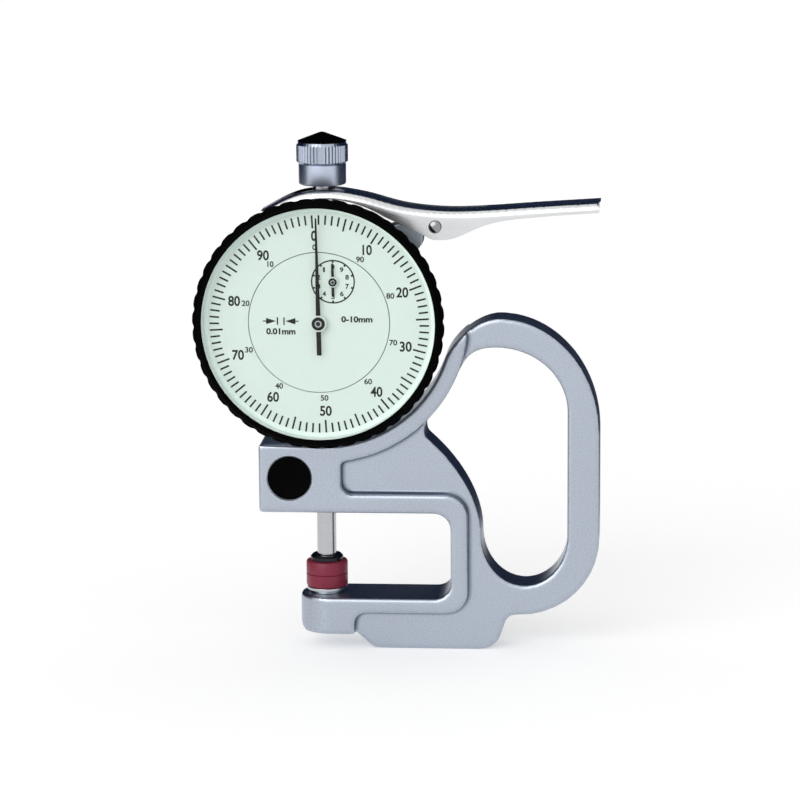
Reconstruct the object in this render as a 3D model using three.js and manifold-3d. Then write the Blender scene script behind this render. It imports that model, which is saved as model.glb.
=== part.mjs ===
// Dial thickness gauge with a C frame, a handle loop, a lifting lever and a dial indicator.
// Millimetres, +Z up, dial facing -Y. The scene is drawn about the spindle axis at X = 0 and
// Y = 0, and the whole group is then shifted so that the origin is the middle of the foot.
import * as THREE from 'three';
import { mergeVertices } from 'three/addons/utils/BufferGeometryUtils.js';
import Module from 'manifold-3d';

const wasm = await Module();
wasm.setup();

// Heights above the foot
const ARM_TOP_HEIGHT = 12.5;
const ARM_BOTTOM_HEIGHT = 3.8;
const THROAT_HEIGHT = 20.3;
const BLOCK_HEIGHT = 16.1;
const CASE_RISE = 4.2;
const HANDLE_DROP = 0.1;
const HANDLE_BOTTOM_HEIGHT = 8.3;

// Reach to the left and right of the spindle axis
const ARM_END_REACH = 6.1;
const THROAT_MARGIN = 0.7;
const HANDLE_WIDTH = 34.35;
const FOOT_LEFT_REACH = 11.4;
const FOOT_OVERHANG = 10.3;

// Frame casting
const BODY_THICKNESS = 15.0;
const WEB_THICKNESS = 10.0;
const RIB_WIDTH = 4.0;
const UPPER_RIB_HEIGHT = 4.4;
const LOWER_RIB_HEIGHT = 3.5;
const ARM_BOSS_REACH = 6.9;
const THROAT_RADIUS = 3.8;
const RIB_RADIUS = 5.2;
const BLOCK_CORNER_RADIUS = 1.2;
const ARM_CORNER_RADIUS = 2.4;
const FOOT_CORNER_RADIUS = 5.0;
const HEEL_RADIUS = 2.5;
const FOOT_SLANT = 2.82;
const HANDLE_RADIUS = 18.5;
const POCKET_REACH = 4.1;
const POCKET_RADIUS = 2.6;
const STRUT_WIDTH = 4.0;
const STRUT_CLEARANCE = 1.0;
const STRUT_TOP_ANGLE = -0.33;
const GRIP_WIDTH = 7.45;
const GRIP_TOP_WIDTH = 6.8;
const LOOP_BOTTOM_WALL = 7.1;
const LOOP_LEFT_WALL = 7.1;
const LOOP_STRUT_ANGLE = -0.42;
const NOTCH_INSET = 5.5;
const NOTCH_RISE = 1.4;
const NOTCH_BULGE = 1.1;
const ARM_STEP_RADIUS = 2.8;
const CUT_OVERRUN = 1.0;

// Clearances
const PRESS_GAP = 0.06;
const RUN_GAP = 0.09;
const SEAT_GAP = 0.1;
const CLEAR_GAP = 0.3;

// Contacts
const CONTACT_RADIUS = 4.85;
const CERAMIC_THICKNESS = 3.05;
const CERAMIC_CHAMFER = 0.5;
const CONTACT_GAP = 0.05;
const HOLDER_FLANGE_RADIUS = 4.7;
const HOLDER_FLANGE_THICKNESS = 0.7;
const HOLDER_BOSS_RADIUS = 4.0;
const HOLDER_BOSS_HEIGHT = 0.63;
const HOLDER_SHANK_RADIUS = 3.0;
const HOLDER_SHANK_LENGTH = 6.0;
const COLLAR_RADIUS = 3.8;
const COLLAR_HEIGHT = 1.3;
const COLLAR_CHAMFER = 0.45;
const STUD_RADIUS = 1.2;
const STUD_LENGTH = 4.5;

// Spindle, rack and cap
const SPINDLE_RADIUS = 2.25;
const SPINDLE_TENON_STEP = 0.65;
const SPINDLE_TENON_LENGTH = 5.5;
const SPINDLE_TRAVEL = 10.0;
const RACK_PITCH = 0.625;
const RACK_TEETH = 26;
const RACK_INSET = 0.5;
const RACK_ADDENDUM = 0.16;
const RACK_DEDENDUM = 0.24;
const SLEEVE_GAP = 0.9;
const SLEEVE_RADIUS = 5.45;
const SLEEVE_HEIGHT = 4.8;
const KNOB_RADIUS = 6.13;
const KNOB_HEIGHT = 5.0;
const KNOB_CHAMFER = 0.5;
const KNURL_COUNT = 46;
const KNURL_DEPTH = 0.22;
const INSERT_RADIUS = 5.6;
const INSERT_RIM_HEIGHT = 0.15;
const INSERT_CONE_HEIGHT = 2.0;
const INSERT_SPIGOT_RADIUS = 2.5;
const INSERT_SPIGOT_LENGTH = 1.6;

// Stem, bushes and clamp
const STEM_WALL = 0.9;
const BUSH_SEAT_GAP = 0.11;
const STEM_SHOULDER = 3.7;
const STEM_FLANGE_OVERHANG = 1.2;
const STEM_FLANGE_THICKNESS = 1.1;
const BUSH_WALL = 0.65;
const BUSH_LENGTH = 6.0;
const UPPER_BUSH_WALL = 0.76;
const UPPER_BUSH_OVERHANG = 0.6;
const UPPER_BUSH_HEAD_HEIGHT = 2.2;
const UPPER_BUSH_DEPTH = 4.0;
const COTTER_RADIUS = 5.0;
const COTTER_OFFSET = 7.83;
const COTTER_RISE = 8.2;
const COTTER_RECESS = 0.4;
const COTTER_SPLIT = 0.5;
const COTTER_WALL = 2.12;
const CLAMP_EDGE_WALL = 0.5;
const CLAMP_SCREW_RADIUS = 1.5;
const CLAMP_HEAD_RADIUS = 2.6;
const CLAMP_HEAD_HEIGHT = 1.8;
const CLAMP_THREAD_DEPTH = 4.5;

// Indicator case
const CASE_RADIUS = 25.2;
const CASE_WALL = 1.3;
const BULKHEAD_GAP = 0.2;
const CASE_BACK_DEPTH = 7.5;
const BULKHEAD_THICKNESS = 1.2;
const SPIGOT_STEP = 0.8;
const SPIGOT_WALL = 1.2;
const SPIGOT_LENGTH = 1.1;
const DIAL_SEAT_INSET = 0.5;
const DIAL_SEAT_WALL = 1.2;
const DIAL_SEAT_HEIGHT = 1.6;
const COVER_STEP = 0.3;
const COVER_THICKNESS = 1.5;
const COVER_BOSS_RADIUS = 2.2;
const COVER_BOSS_INSET = 3.3;
const COVER_BOSS_LENGTH = 3.4;
const COVER_SCREW_COUNT = 4;
const COVER_SCREW_RADIUS = 0.8;
const COVER_SCREW_HEAD_RADIUS = 1.5;
const COVER_SCREW_HEAD_HEIGHT = 0.7;
const COVER_SCREW_LENGTH = 4.2;

// Bezel, crystal and dials
const BEZEL_OVERHANG = 3.5;
const BEZEL_SCALLOPS = 44;
const SCALLOP_DEPTH = 0.3;
const BEZEL_BAND_STEP = 0.7;
const CRYSTAL_GAP = 0.65;
const BEZEL_BAND_START = 1.9;
const BEZEL_BAND_LENGTH = 3.1;
const BEZEL_LIP_OVERHANG = 0.5;
const BEZEL_LIP_THICKNESS = 0.7;
const BEZEL_WALL = 0.9;
const BEZEL_LEDGE_THICKNESS = 1.2;
const DIAL_THICKNESS = 0.4;
const DIAL_RING_WIDTH = 10.5;
const CRYSTAL_THICKNESS = 0.9;
const CRYSTAL_DOME = 1.0;
const GASKET_WALL = 0.5;

// Movement
const GEAR_TEETH = 100;
const PINION_TEETH = 10;
const RACK_PINION_TEETH = 16;
const GEAR_GAP = 0.5;
const GEAR_THICKNESS = 0.8;
const TOOTH_FILL_SHARE = 0.4;
const TOOTH_TIP_SHARE = 0.2;
const TOOTH_ADDENDUM_SHARE = 0.75;
const TOOTH_DEDENDUM_SHARE = 1.2;
const COUNTER_REACH = 3.3;
const ARBOR_RADIUS = 0.5;
const ARBOR_HUB_RADIUS = 0.85;
const ARBOR_STEP = 0.25;
const PLATE_THICKNESS = 0.8;
const FRONT_PLATE_GAP = 0.9;
const FRONT_PLATE_MARGIN = 0.8;
const MID_BRIDGE_DEPTH = 3.7;
const REAR_PLATE_DEPTH = 3.2;
const JEWEL_RADIUS = 1.2;
const PILLAR_RADIUS = 1.3;
const TENON_RADIUS = 0.7;
const MID_PLATE_MARGIN = 2.2;
const REAR_PLATE_MARGIN = 2.4;
const HAIRSPRING_GAP = 0.9;
const HAIRSPRING_WIDTH = 0.5;
const HAIRSPRING_STRIP = 0.12;
const HAIRSPRING_INNER_RADIUS = 1.25;
const HAIRSPRING_OUTER_RADIUS = 4.5;
const HAIRSPRING_TURNS = 5;
const COLLET_RADIUS = 1.1;
const STUD_PIN_RADIUS = 0.5;
const MAIN_POINTER_MARGIN = 2.6;
const MAIN_POINTER_TAIL = 7.3;
const MAIN_POINTER_WIDTH = 0.7;
const MAIN_POINTER_TIP_WIDTH = 0.3;
const POINTER_SPACING = 0.7;
const POINTER_HUB_RADIUS = 1.4;
const POINTER_THICKNESS = 0.3;
const COUNT_POINTER_LENGTH = 3.6;
const COUNT_POINTER_TAIL = 2.6;
const COUNT_POINTER_WIDTH = 0.4;
const COUNT_POINTER_GAP = 0.7;
const COUNT_HUB_RADIUS = 0.8;

// Guide and return spring
const GUIDE_PIN_RADIUS = 0.7;
const GUIDE_PILLAR_GAP = 0.9;
const SPRING_PILLAR_GAP = 0.99;
const GUIDE_PIN_REACH = 10.6;
const GUIDE_PIN_ENGAGEMENT = 2.0;
const GUIDE_BLOCK_WIDTH = 3.4;
const GUIDE_BLOCK_DEPTH = 2.3;
const SPRING_REACH = 5.9;
const SPRING_RADIUS = 1.15;
const SPRING_WIRE_RADIUS = 0.16;
const SPRING_TURNS = 14;
const SPRING_OFFSET = 0.9;
const SPRING_POST_RADIUS = 0.9;
const SPRING_POST_INSET = 6.4;

// Lifting lever and its bracket
const LEVER_LEFT_REACH = 12.95;
const LEVER_SETBACK = 0.35;
const LEVER_WIDTH = 10.0;
const LEVER_SHEET = 0.9;
const LEVER_BUSH_GAP = 0.9;
const PIVOT_RISE = 3.1;
const PIVOT_OUTSET = 0.9;
const LEVER_CROWN = 11.3;
const LEVER_CASE_GAP = 2.25;
const LEVER_LIP = 0.2632;
const LEVER_SLOT_GAP = 0.55;
const LEVER_SLOT_LEFT = 8.5;
const LEVER_SLOT_RIGHT = 2.95;
const BRACKET_SIDE_GAP = 0.4;
const BRACKET_BOSS_RADIUS = 2.6;
const BRACKET_START_ANGLE = 0.635;
const BRACKET_END_ANGLE = 0.95;
const BRACKET_SCREW_RADIUS = 0.9;
const BRACKET_SCREW_HEAD_RADIUS = 1.5;
const BRACKET_SCREW_HEAD_HEIGHT = 0.8;
const BRACKET_SCREW_LENGTH = 5.0;
const BRACKET_SCREW_SPREAD = 2.0;
const PIN_RADIUS = 0.95;
const PIN_HEAD_RADIUS = 1.5;
const PIN_HEAD_HEIGHT = 0.75;

// Numbers of flat sides
const LARGE_SIDES = 48;
const MEDIUM_SIDES = 28;
const SMALL_SIDES = 12;
const ARC_STEPS = 6;
const SPRING_STEPS = 7;
const COIL_STEPS = 18;
const WIRE_SIDES = 4;
const WELD = 1e-5;

// Shapes as shares of the sizes that they follow
const STRUT_CURVE_SHARES = [[0.6, 0], [0.115, 0.56]];
const LOOP_TOP_SHARE = 0.177;
const LOOP_RIGHT_BOTTOM_SHARE = 0.21;
const LOOP_RIGHT_TOP_SHARE = 0.732;
const LOOP_STRUT_SHARES = [[0.45, 0], [0.234, 0.23]];
const LOOP_LEFT_SHARES = [[0, 0.38], [0.48, 0.76]];
const HANDLE_CROWN_SHARE = 0.637;
const HANDLE_SHOULDER_SHARE = 0.382;
const CRYSTAL_EDGE_SHARE = 0.5;
const CRYSTAL_MIDDLE_SHARE = 0.75;
const PIN_HEAD_FLAT_SHARE = 0.6;
const LEVER_TOP_SHARES = [
  [0.06, 0.827], [0.12, 0.958], [0.2, 1], [0.3, 0.898],
  [0.42, 0.685], [0.54, 0.602], [0.66, 0.62], [0.82, 0.695], [1, 0.77],
];
const LEVER_BELLY_SHARES = [[0.492, 0.03], [0.515, 0], [0.54, 0.02], [0.69, 0.37], [0.85, 0.49], [1, 0.56]];
const GEAR_CENTRE_SHARE = 100 / 239;
const MID_PILLAR_SHARES = [[-0.95, 0.2], [1.2, -0.5], [0.4, 2.06]];
const REAR_PILLAR_SHARES = [[-1.5, -0.9], [0.95, -1.0], [1.15, 1.75]];
const BRACKET_HEEL_SHARES = [[-1.54, -2.08], [-1.19, -1.62], [-1.115, -0.846]];

// Sizes worked out from those above
const CONTACT_HEIGHT = ARM_TOP_HEIGHT + HOLDER_BOSS_HEIGHT + HOLDER_FLANGE_THICKNESS
  + CERAMIC_THICKNESS + 2 * PRESS_GAP;
const BLOCK_BOTTOM_HEIGHT = ARM_TOP_HEIGHT + THROAT_HEIGHT;
const BLOCK_TOP_HEIGHT = BLOCK_BOTTOM_HEIGHT + BLOCK_HEIGHT;
const NOTCH_HEIGHT = BLOCK_TOP_HEIGHT + NOTCH_RISE;
const STEM_BOTTOM_HEIGHT = BLOCK_BOTTOM_HEIGHT + STEM_SHOULDER;
const COTTER_HEIGHT = BLOCK_BOTTOM_HEIGHT + COTTER_RISE;
const DIAL_HEIGHT = BLOCK_TOP_HEIGHT + CASE_RISE + CASE_RADIUS;
const CASE_TOP = DIAL_HEIGHT + CASE_RADIUS;
const HANDLE_TOP_HEIGHT = DIAL_HEIGHT - HANDLE_DROP;
const LEVER_TOP_HEIGHT = CASE_TOP + SEAT_GAP + UPPER_BUSH_HEAD_HEIGHT + LEVER_BUSH_GAP + LEVER_SHEET;
const LEVER_BASE_HEIGHT = LEVER_TOP_HEIGHT - LEVER_CROWN;
const PIVOT_HEIGHT = LEVER_BASE_HEIGHT + PIVOT_RISE;
const SLEEVE_BOTTOM_HEIGHT = LEVER_TOP_HEIGHT + SLEEVE_GAP;
const BEZEL_RADIUS = CASE_RADIUS + BEZEL_OVERHANG;
const BEZEL_BODY_RADIUS = BEZEL_RADIUS - BEZEL_BAND_STEP;
const BEZEL_BORE_RADIUS = BEZEL_BODY_RADIUS - BEZEL_WALL;
const BEZEL_LIP_RADIUS = BEZEL_BORE_RADIUS - BEZEL_LIP_OVERHANG;
const SPIGOT_RADIUS = CASE_RADIUS - SPIGOT_STEP;
const COVER_RADIUS = CASE_RADIUS - COVER_STEP;
const COVER_BOSS_PITCH_RADIUS = CASE_RADIUS - COVER_BOSS_INSET;
const CASE_INNER_RADIUS = CASE_RADIUS - CASE_WALL;
const FRONT_PLATE_RADIUS = CASE_INNER_RADIUS - FRONT_PLATE_MARGIN;
const SPRING_POST_DROP = CASE_INNER_RADIUS - SPRING_POST_INSET;
const GEAR_CENTRE_DISTANCE = CASE_INNER_RADIUS * GEAR_CENTRE_SHARE;
const DIAL_RING_INNER_RADIUS = BEZEL_BORE_RADIUS - DIAL_RING_WIDTH;
const INNER_DIAL_RADIUS = DIAL_RING_INNER_RADIUS - CLEAR_GAP;
const DIAL_SEAT_OUTER_RADIUS = INNER_DIAL_RADIUS - DIAL_SEAT_INSET;
const MAIN_POINTER_LENGTH = BEZEL_LIP_RADIUS - MAIN_POINTER_MARGIN;
const THROAT_DEPTH = BEZEL_RADIUS + THROAT_MARGIN;
const NOTCH_REACH = THROAT_DEPTH - NOTCH_INSET;
const LOOP_LEFT_REACH = THROAT_DEPTH + LOOP_LEFT_WALL;
const FOOT_RIGHT_REACH = THROAT_DEPTH + FOOT_OVERHANG;
const HANDLE_REACH = THROAT_DEPTH + HANDLE_WIDTH;
const LEVER_RIGHT_REACH = HANDLE_REACH - LEVER_SETBACK;
const PIVOT_REACH = CASE_RADIUS + PIVOT_OUTSET;
const BLOCK_LEFT_REACH = COTTER_OFFSET + COTTER_RADIUS + COTTER_WALL;
const ARM_BOSS_RADIUS = BODY_THICKNESS / 2;
const STEM_BORE_RADIUS = SPINDLE_RADIUS + RUN_GAP + BUSH_WALL + BUSH_SEAT_GAP;
const STEM_RADIUS = STEM_BORE_RADIUS + STEM_WALL;
const STEM_FLANGE_RADIUS = STEM_RADIUS + STEM_FLANGE_OVERHANG;
const UPPER_BUSH_RADIUS = SPINDLE_RADIUS + RUN_GAP + UPPER_BUSH_WALL;
const UPPER_BUSH_HEAD_RADIUS = UPPER_BUSH_RADIUS + UPPER_BUSH_OVERHANG;
const SPINDLE_TENON_RADIUS = SPINDLE_RADIUS - SPINDLE_TENON_STEP;
const RACK_PITCH_REACH = SPINDLE_RADIUS - RACK_INSET;
const CLAMP_SCREW_OFFSET = COTTER_RADIUS - CLAMP_HEAD_RADIUS - CLAMP_EDGE_WALL;
const LEVER_SLOT_WIDTH = 2 * (SPINDLE_RADIUS + LEVER_SLOT_GAP);
const BRACKET_WIDTH = LEVER_WIDTH - 2 * LEVER_SHEET - 2 * BRACKET_SIDE_GAP;
const GUIDE_BLOCK_REACH = GUIDE_PIN_REACH - GUIDE_PIN_ENGAGEMENT;
const GEAR_DEPTH = MID_BRIDGE_DEPTH + GEAR_GAP + GEAR_THICKNESS;
const HAIRSPRING_DEPTH = GEAR_DEPTH + HAIRSPRING_GAP + HAIRSPRING_WIDTH;
const FRONT_PLATE_DEPTH = HAIRSPRING_DEPTH + FRONT_PLATE_GAP + PLATE_THICKNESS;
const CASE_FRONT_DEPTH = FRONT_PLATE_DEPTH + BULKHEAD_GAP + BULKHEAD_THICKNESS;
const INNER_DIAL_BACK = CASE_FRONT_DEPTH + DIAL_SEAT_HEIGHT + SEAT_GAP;
const COUNT_POINTER_DEPTH = INNER_DIAL_BACK + DIAL_THICKNESS + COUNT_POINTER_GAP;
const MAIN_POINTER_DEPTH = COUNT_POINTER_DEPTH + POINTER_SPACING;
const CRYSTAL_BACK = MAIN_POINTER_DEPTH + ARBOR_STEP + CRYSTAL_GAP;
const CRYSTAL_FRONT = CRYSTAL_BACK + CRYSTAL_THICKNESS;
const LIP_BACK = CRYSTAL_FRONT + SEAT_GAP;
const BEZEL_FRONT = LIP_BACK + BEZEL_LIP_THICKNESS;

// Materials, one colour for each kind of surface
const FINISHES = {
  castAluminium: { color: 0xb2bccb, roughness: 0.5, metalness: 0.6 },
  steel: { color: 0xc9ccd2, roughness: 0.25, metalness: 1.0 },
  brightSheet: { color: 0xe6e9ee, roughness: 0.18, metalness: 1.0 },
  blackPlastic: { color: 0x0b0b0d, roughness: 0.5, metalness: 0.0 },
  redCeramic: { color: 0x86283a, roughness: 0.35, metalness: 0.0 },
  dialPaint: { color: 0xdbf0e4, roughness: 0.6, metalness: 0.0 },
  brass: { color: 0xc9a24e, roughness: 0.35, metalness: 1.0 },
  ruby: { color: 0xb01238, roughness: 0.15, metalness: 0.0 },
  clear: { color: 0xeef6f5, roughness: 0.05, metalness: 0.0, transparent: true, opacity: 0.2 },
  rubber: { color: 0x1b1b1d, roughness: 0.9, metalness: 0.0 },
};

// Geometry helpers
function signedVolume(geometry) {
  const points = geometry.getAttribute('position');
  const index = geometry.getIndex();
  const a = new THREE.Vector3();
  const b = new THREE.Vector3();
  const c = new THREE.Vector3();
  let volume = 0;
  for (let i = 0; i < index.count; i += 3) {
    a.fromBufferAttribute(points, index.getX(i));
    b.fromBufferAttribute(points, index.getX(i + 1));
    c.fromBufferAttribute(points, index.getX(i + 2));
    volume += a.dot(b.cross(c)) / 6;
  }
  return volume;
}

// Merges shared corners and turns the faces outwards, so that the mesh is one closed solid.
function closed(geometry) {
  geometry.deleteAttribute('normal');
  geometry.deleteAttribute('uv');
  const merged = mergeVertices(geometry, WELD);
  const index = Array.from(merged.getIndex().array);
  const kept = [];
  for (let i = 0; i < index.length; i += 3) {
    const [p, q, r] = index.slice(i, i + 3);
    if (p !== q && q !== r && r !== p) {
      kept.push(p, q, r);
    }
  }
  merged.setIndex(kept);
  if (signedVolume(merged) < 0) {
    for (let i = 0; i < kept.length; i += 3) {
      [kept[i], kept[i + 1]] = [kept[i + 1], kept[i]];
    }
    merged.setIndex(kept);
  }
  return merged;
}

function toManifold(geometry) {
  const merged = closed(geometry);
  return new wasm.Manifold(new wasm.Mesh({
    numProp: 3,
    vertProperties: new Float32Array(merged.getAttribute('position').array),
    triVerts: new Uint32Array(merged.getIndex().array),
  }));
}

function toGeometry(manifold) {
  const mesh = manifold.getMesh();
  const geometry = new THREE.BufferGeometry();
  geometry.setAttribute('position', new THREE.BufferAttribute(new Float32Array(mesh.vertProperties), 3));
  geometry.setIndex(Array.from(mesh.triVerts));
  return geometry;
}

function cut(base, ...tools) {
  let result = toManifold(base);
  for (const tool of tools) {
    result = result.subtract(toManifold(tool));
  }
  return toGeometry(result);
}

function join(base, ...others) {
  let result = toManifold(base);
  for (const other of others) {
    result = result.add(toManifold(other));
  }
  return toGeometry(result);
}

function moved(geometry, x, y, z) {
  return geometry.translate(x, y, z);
}

// A solid turned about the Y axis from [radius, depth] pairs, with depth growing to the front.
function turnedAboutDepth(profile, sides) {
  const points = profile.map(([radius, depth]) => new THREE.Vector2(radius, -depth));
  return closed(new THREE.LatheGeometry(points, sides));
}

// A solid turned about the Z axis from [radius, height] pairs.
function turnedAboutHeight(profile, sides) {
  const points = profile.map(([radius, height]) => new THREE.Vector2(radius, height));
  return closed(new THREE.LatheGeometry(points, sides).rotateX(Math.PI / 2));
}

function ringProfile(inner, outer, low, high) {
  return [[inner, low], [outer, low], [outer, high], [inner, high], [inner, low]];
}

function rodProfile(radius, low, high) {
  return [[0, low], [radius, low], [radius, high], [0, high]];
}

// A plate with its outline in X and Z and its thickness along Y, from one depth to another.
function plate(shape, backDepth, frontDepth) {
  const geometry = new THREE.ExtrudeGeometry(shape, {
    depth: frontDepth - backDepth,
    bevelEnabled: false,
    curveSegments: ARC_STEPS,
  });
  return moved(geometry.rotateX(Math.PI / 2), 0, -backDepth, 0);
}

function circlePath(x, z, radius, sides) {
  const path = new THREE.Path();
  for (let i = 0; i < sides; i += 1) {
    const angle = (i * 2 * Math.PI) / sides;
    const px = x + radius * Math.cos(angle);
    const pz = z + radius * Math.sin(angle);
    if (i === 0) {
      path.moveTo(px, pz);
    } else {
      path.lineTo(px, pz);
    }
  }
  path.closePath();
  return path;
}

// An outline through corners [x, z, radius], each rounded with its own radius.
function roundedOutline(corners) {
  const shape = new THREE.Shape();
  const count = corners.length;
  corners.forEach(([x, z, radius = 0], i) => {
    const corner = new THREE.Vector2(x, z);
    const before = new THREE.Vector2(...corners[(i + count - 1) % count]).sub(corner).normalize();
    const after = new THREE.Vector2(...corners[(i + 1) % count]).sub(corner).normalize();
    const half = Math.acos(THREE.MathUtils.clamp(before.dot(after), -1, 1)) / 2;
    const reach = radius / Math.tan(half);
    const start = corner.clone().addScaledVector(before, reach);
    const end = corner.clone().addScaledVector(after, reach);
    if (i === 0) {
      shape.moveTo(start.x, start.y);
    } else {
      shape.lineTo(start.x, start.y);
    }
    if (radius > 0) {
      const middle = before.clone().add(after).normalize();
      const centre = corner.clone().addScaledVector(middle, radius / Math.sin(half));
      const from = Math.atan2(start.y - centre.y, start.x - centre.x);
      const to = Math.atan2(end.y - centre.y, end.x - centre.x);
      const clockwise = before.cross(after) > 0;
      shape.absarc(centre.x, centre.y, radius, from, to, clockwise);
    }
  });
  shape.closePath();
  return shape;
}

// A straight rod between two points.
function rodBetween(from, to, radius, sides) {
  const axis = to.clone().sub(from);
  const rod = new THREE.CylinderGeometry(radius, radius, axis.length(), sides);
  const turn = new THREE.Quaternion();
  turn.setFromUnitVectors(new THREE.Vector3(0, 1, 0), axis.clone().normalize());
  rod.applyQuaternion(turn);
  const middle = from.clone().add(to).multiplyScalar(0.5);
  return moved(rod, middle.x, middle.y, middle.z);
}

function depthRod(x, z, radius, backDepth, frontDepth, sides = SMALL_SIDES) {
  const from = new THREE.Vector3(x, -backDepth, z);
  const to = new THREE.Vector3(x, -frontDepth, z);
  return rodBetween(from, to, radius, sides);
}

function heightRod(x, radius, low, high, sides = MEDIUM_SIDES) {
  const from = new THREE.Vector3(x, 0, low);
  const to = new THREE.Vector3(x, 0, high);
  return rodBetween(from, to, radius, sides);
}

function block(lowX, highX, lowY, highY, lowZ, highZ) {
  const box = new THREE.BoxGeometry(highX - lowX, highY - lowY, highZ - lowZ);
  return moved(box, (lowX + highX) / 2, (lowY + highY) / 2, (lowZ + highZ) / 2);
}

// A smooth tube with a rectangular or round section, swept through a list of centre points.
// Each frame gives the point and the two directions of its section.
function sweptSolid(frames, section) {
  const vertices = [];
  const index = [];
  for (const { point, across, up } of frames) {
    for (const [s, t] of section) {
      const corner = point.clone().addScaledVector(across, s).addScaledVector(up, t);
      vertices.push(corner.x, corner.y, corner.z);
    }
  }
  const sides = section.length;
  for (let i = 0; i + 1 < frames.length; i += 1) {
    for (let j = 0; j < sides; j += 1) {
      const a = i * sides + j;
      const b = i * sides + ((j + 1) % sides);
      index.push(a, b, b + sides, a, b + sides, a + sides);
    }
  }
  const last = (frames.length - 1) * sides;
  for (let j = 1; j + 1 < sides; j += 1) {
    index.push(0, j + 1, j);
    index.push(last, last + j, last + j + 1);
  }
  const geometry = new THREE.BufferGeometry();
  geometry.setAttribute('position', new THREE.Float32BufferAttribute(vertices, 3));
  geometry.setIndex(index);
  return closed(geometry);
}

// Frame casting: a thin web with the handle loop, joined to the thick block, rib, arm and strut
const STRUT_INNER_RADIUS = BEZEL_RADIUS + STRUT_CLEARANCE;
const STRUT_OUTER_RADIUS = STRUT_INNER_RADIUS + STRUT_WIDTH;
const RIB_REACH = THROAT_DEPTH + RIB_WIDTH;
const HANDLE_CROWN_REACH = HANDLE_REACH * HANDLE_CROWN_SHARE;
const HANDLE_SPAN = HANDLE_TOP_HEIGHT - HANDLE_BOTTOM_HEIGHT;
const HANDLE_SHOULDER_HEIGHT = HANDLE_TOP_HEIGHT - HANDLE_SPAN * HANDLE_SHOULDER_SHARE;
const LOOP_RIGHT_REACH = HANDLE_REACH - GRIP_WIDTH;
const LOOP_TOP_HEIGHT = HANDLE_TOP_HEIGHT - GRIP_TOP_WIDTH;
const LOOP_BOTTOM_HEIGHT = HANDLE_BOTTOM_HEIGHT + LOOP_BOTTOM_WALL;
const LOOP_HEIGHT = LOOP_TOP_HEIGHT - LOOP_BOTTOM_HEIGHT;

function strutPoint(radius, angle) {
  return new THREE.Vector2(radius * Math.cos(angle), DIAL_HEIGHT + radius * Math.sin(angle));
}

function webOutline() {
  const shape = new THREE.Shape();
  const notchX = ARM_BOSS_REACH;
  const footRight = FOOT_RIGHT_REACH;
  const seat = roundedOutline([
    [notchX, ARM_BOTTOM_HEIGHT + CLEAR_GAP],
    [FOOT_LEFT_REACH, 0, ARM_CORNER_RADIUS],
    [footRight, 0, FOOT_CORNER_RADIUS],
    [footRight + FOOT_SLANT, HANDLE_BOTTOM_HEIGHT, HEEL_RADIUS],
    [HANDLE_REACH, HANDLE_BOTTOM_HEIGHT, HANDLE_RADIUS],
    [HANDLE_REACH, HANDLE_SHOULDER_HEIGHT],
  ]);
  const points = seat.getPoints(ARC_STEPS);
  points.pop();
  points.forEach((point, i) => {
    if (i === 0) {
      shape.moveTo(point.x, point.y);
    } else {
      shape.lineTo(point.x, point.y);
    }
  });
  const crownRise = HANDLE_TOP_HEIGHT - HANDLE_SHOULDER_HEIGHT;
  const crownRun = HANDLE_REACH - HANDLE_CROWN_REACH;
  shape.absellipse(HANDLE_CROWN_REACH, HANDLE_SHOULDER_HEIGHT, crownRun, crownRise, 0, Math.PI / 2);
  const strutTop = strutPoint(STRUT_INNER_RADIUS, STRUT_TOP_ANGLE);
  const run = HANDLE_CROWN_REACH - strutTop.x;
  const rise = HANDLE_TOP_HEIGHT - strutTop.y;
  const [first, second] = STRUT_CURVE_SHARES;
  shape.bezierCurveTo(
    strutTop.x + run * first[0], HANDLE_TOP_HEIGHT - rise * first[1],
    strutTop.x + run * second[0], HANDLE_TOP_HEIGHT - rise * second[1],
    strutTop.x, strutTop.y,
  );
  shape.absarc(0, DIAL_HEIGHT, STRUT_INNER_RADIUS, STRUT_TOP_ANGLE, -Math.PI / 2, true);
  shape.lineTo(0, BLOCK_BOTTOM_HEIGHT + UPPER_RIB_HEIGHT / 2);
  shape.lineTo(THROAT_DEPTH + RIB_WIDTH / 2, BLOCK_BOTTOM_HEIGHT + UPPER_RIB_HEIGHT / 2);
  shape.lineTo(THROAT_DEPTH + RIB_WIDTH / 2, ARM_TOP_HEIGHT - LOWER_RIB_HEIGHT / 2);
  shape.lineTo(notchX, ARM_TOP_HEIGHT - LOWER_RIB_HEIGHT / 2);
  shape.closePath();
  shape.holes.push(loopOutline());
  return shape;
}

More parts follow.
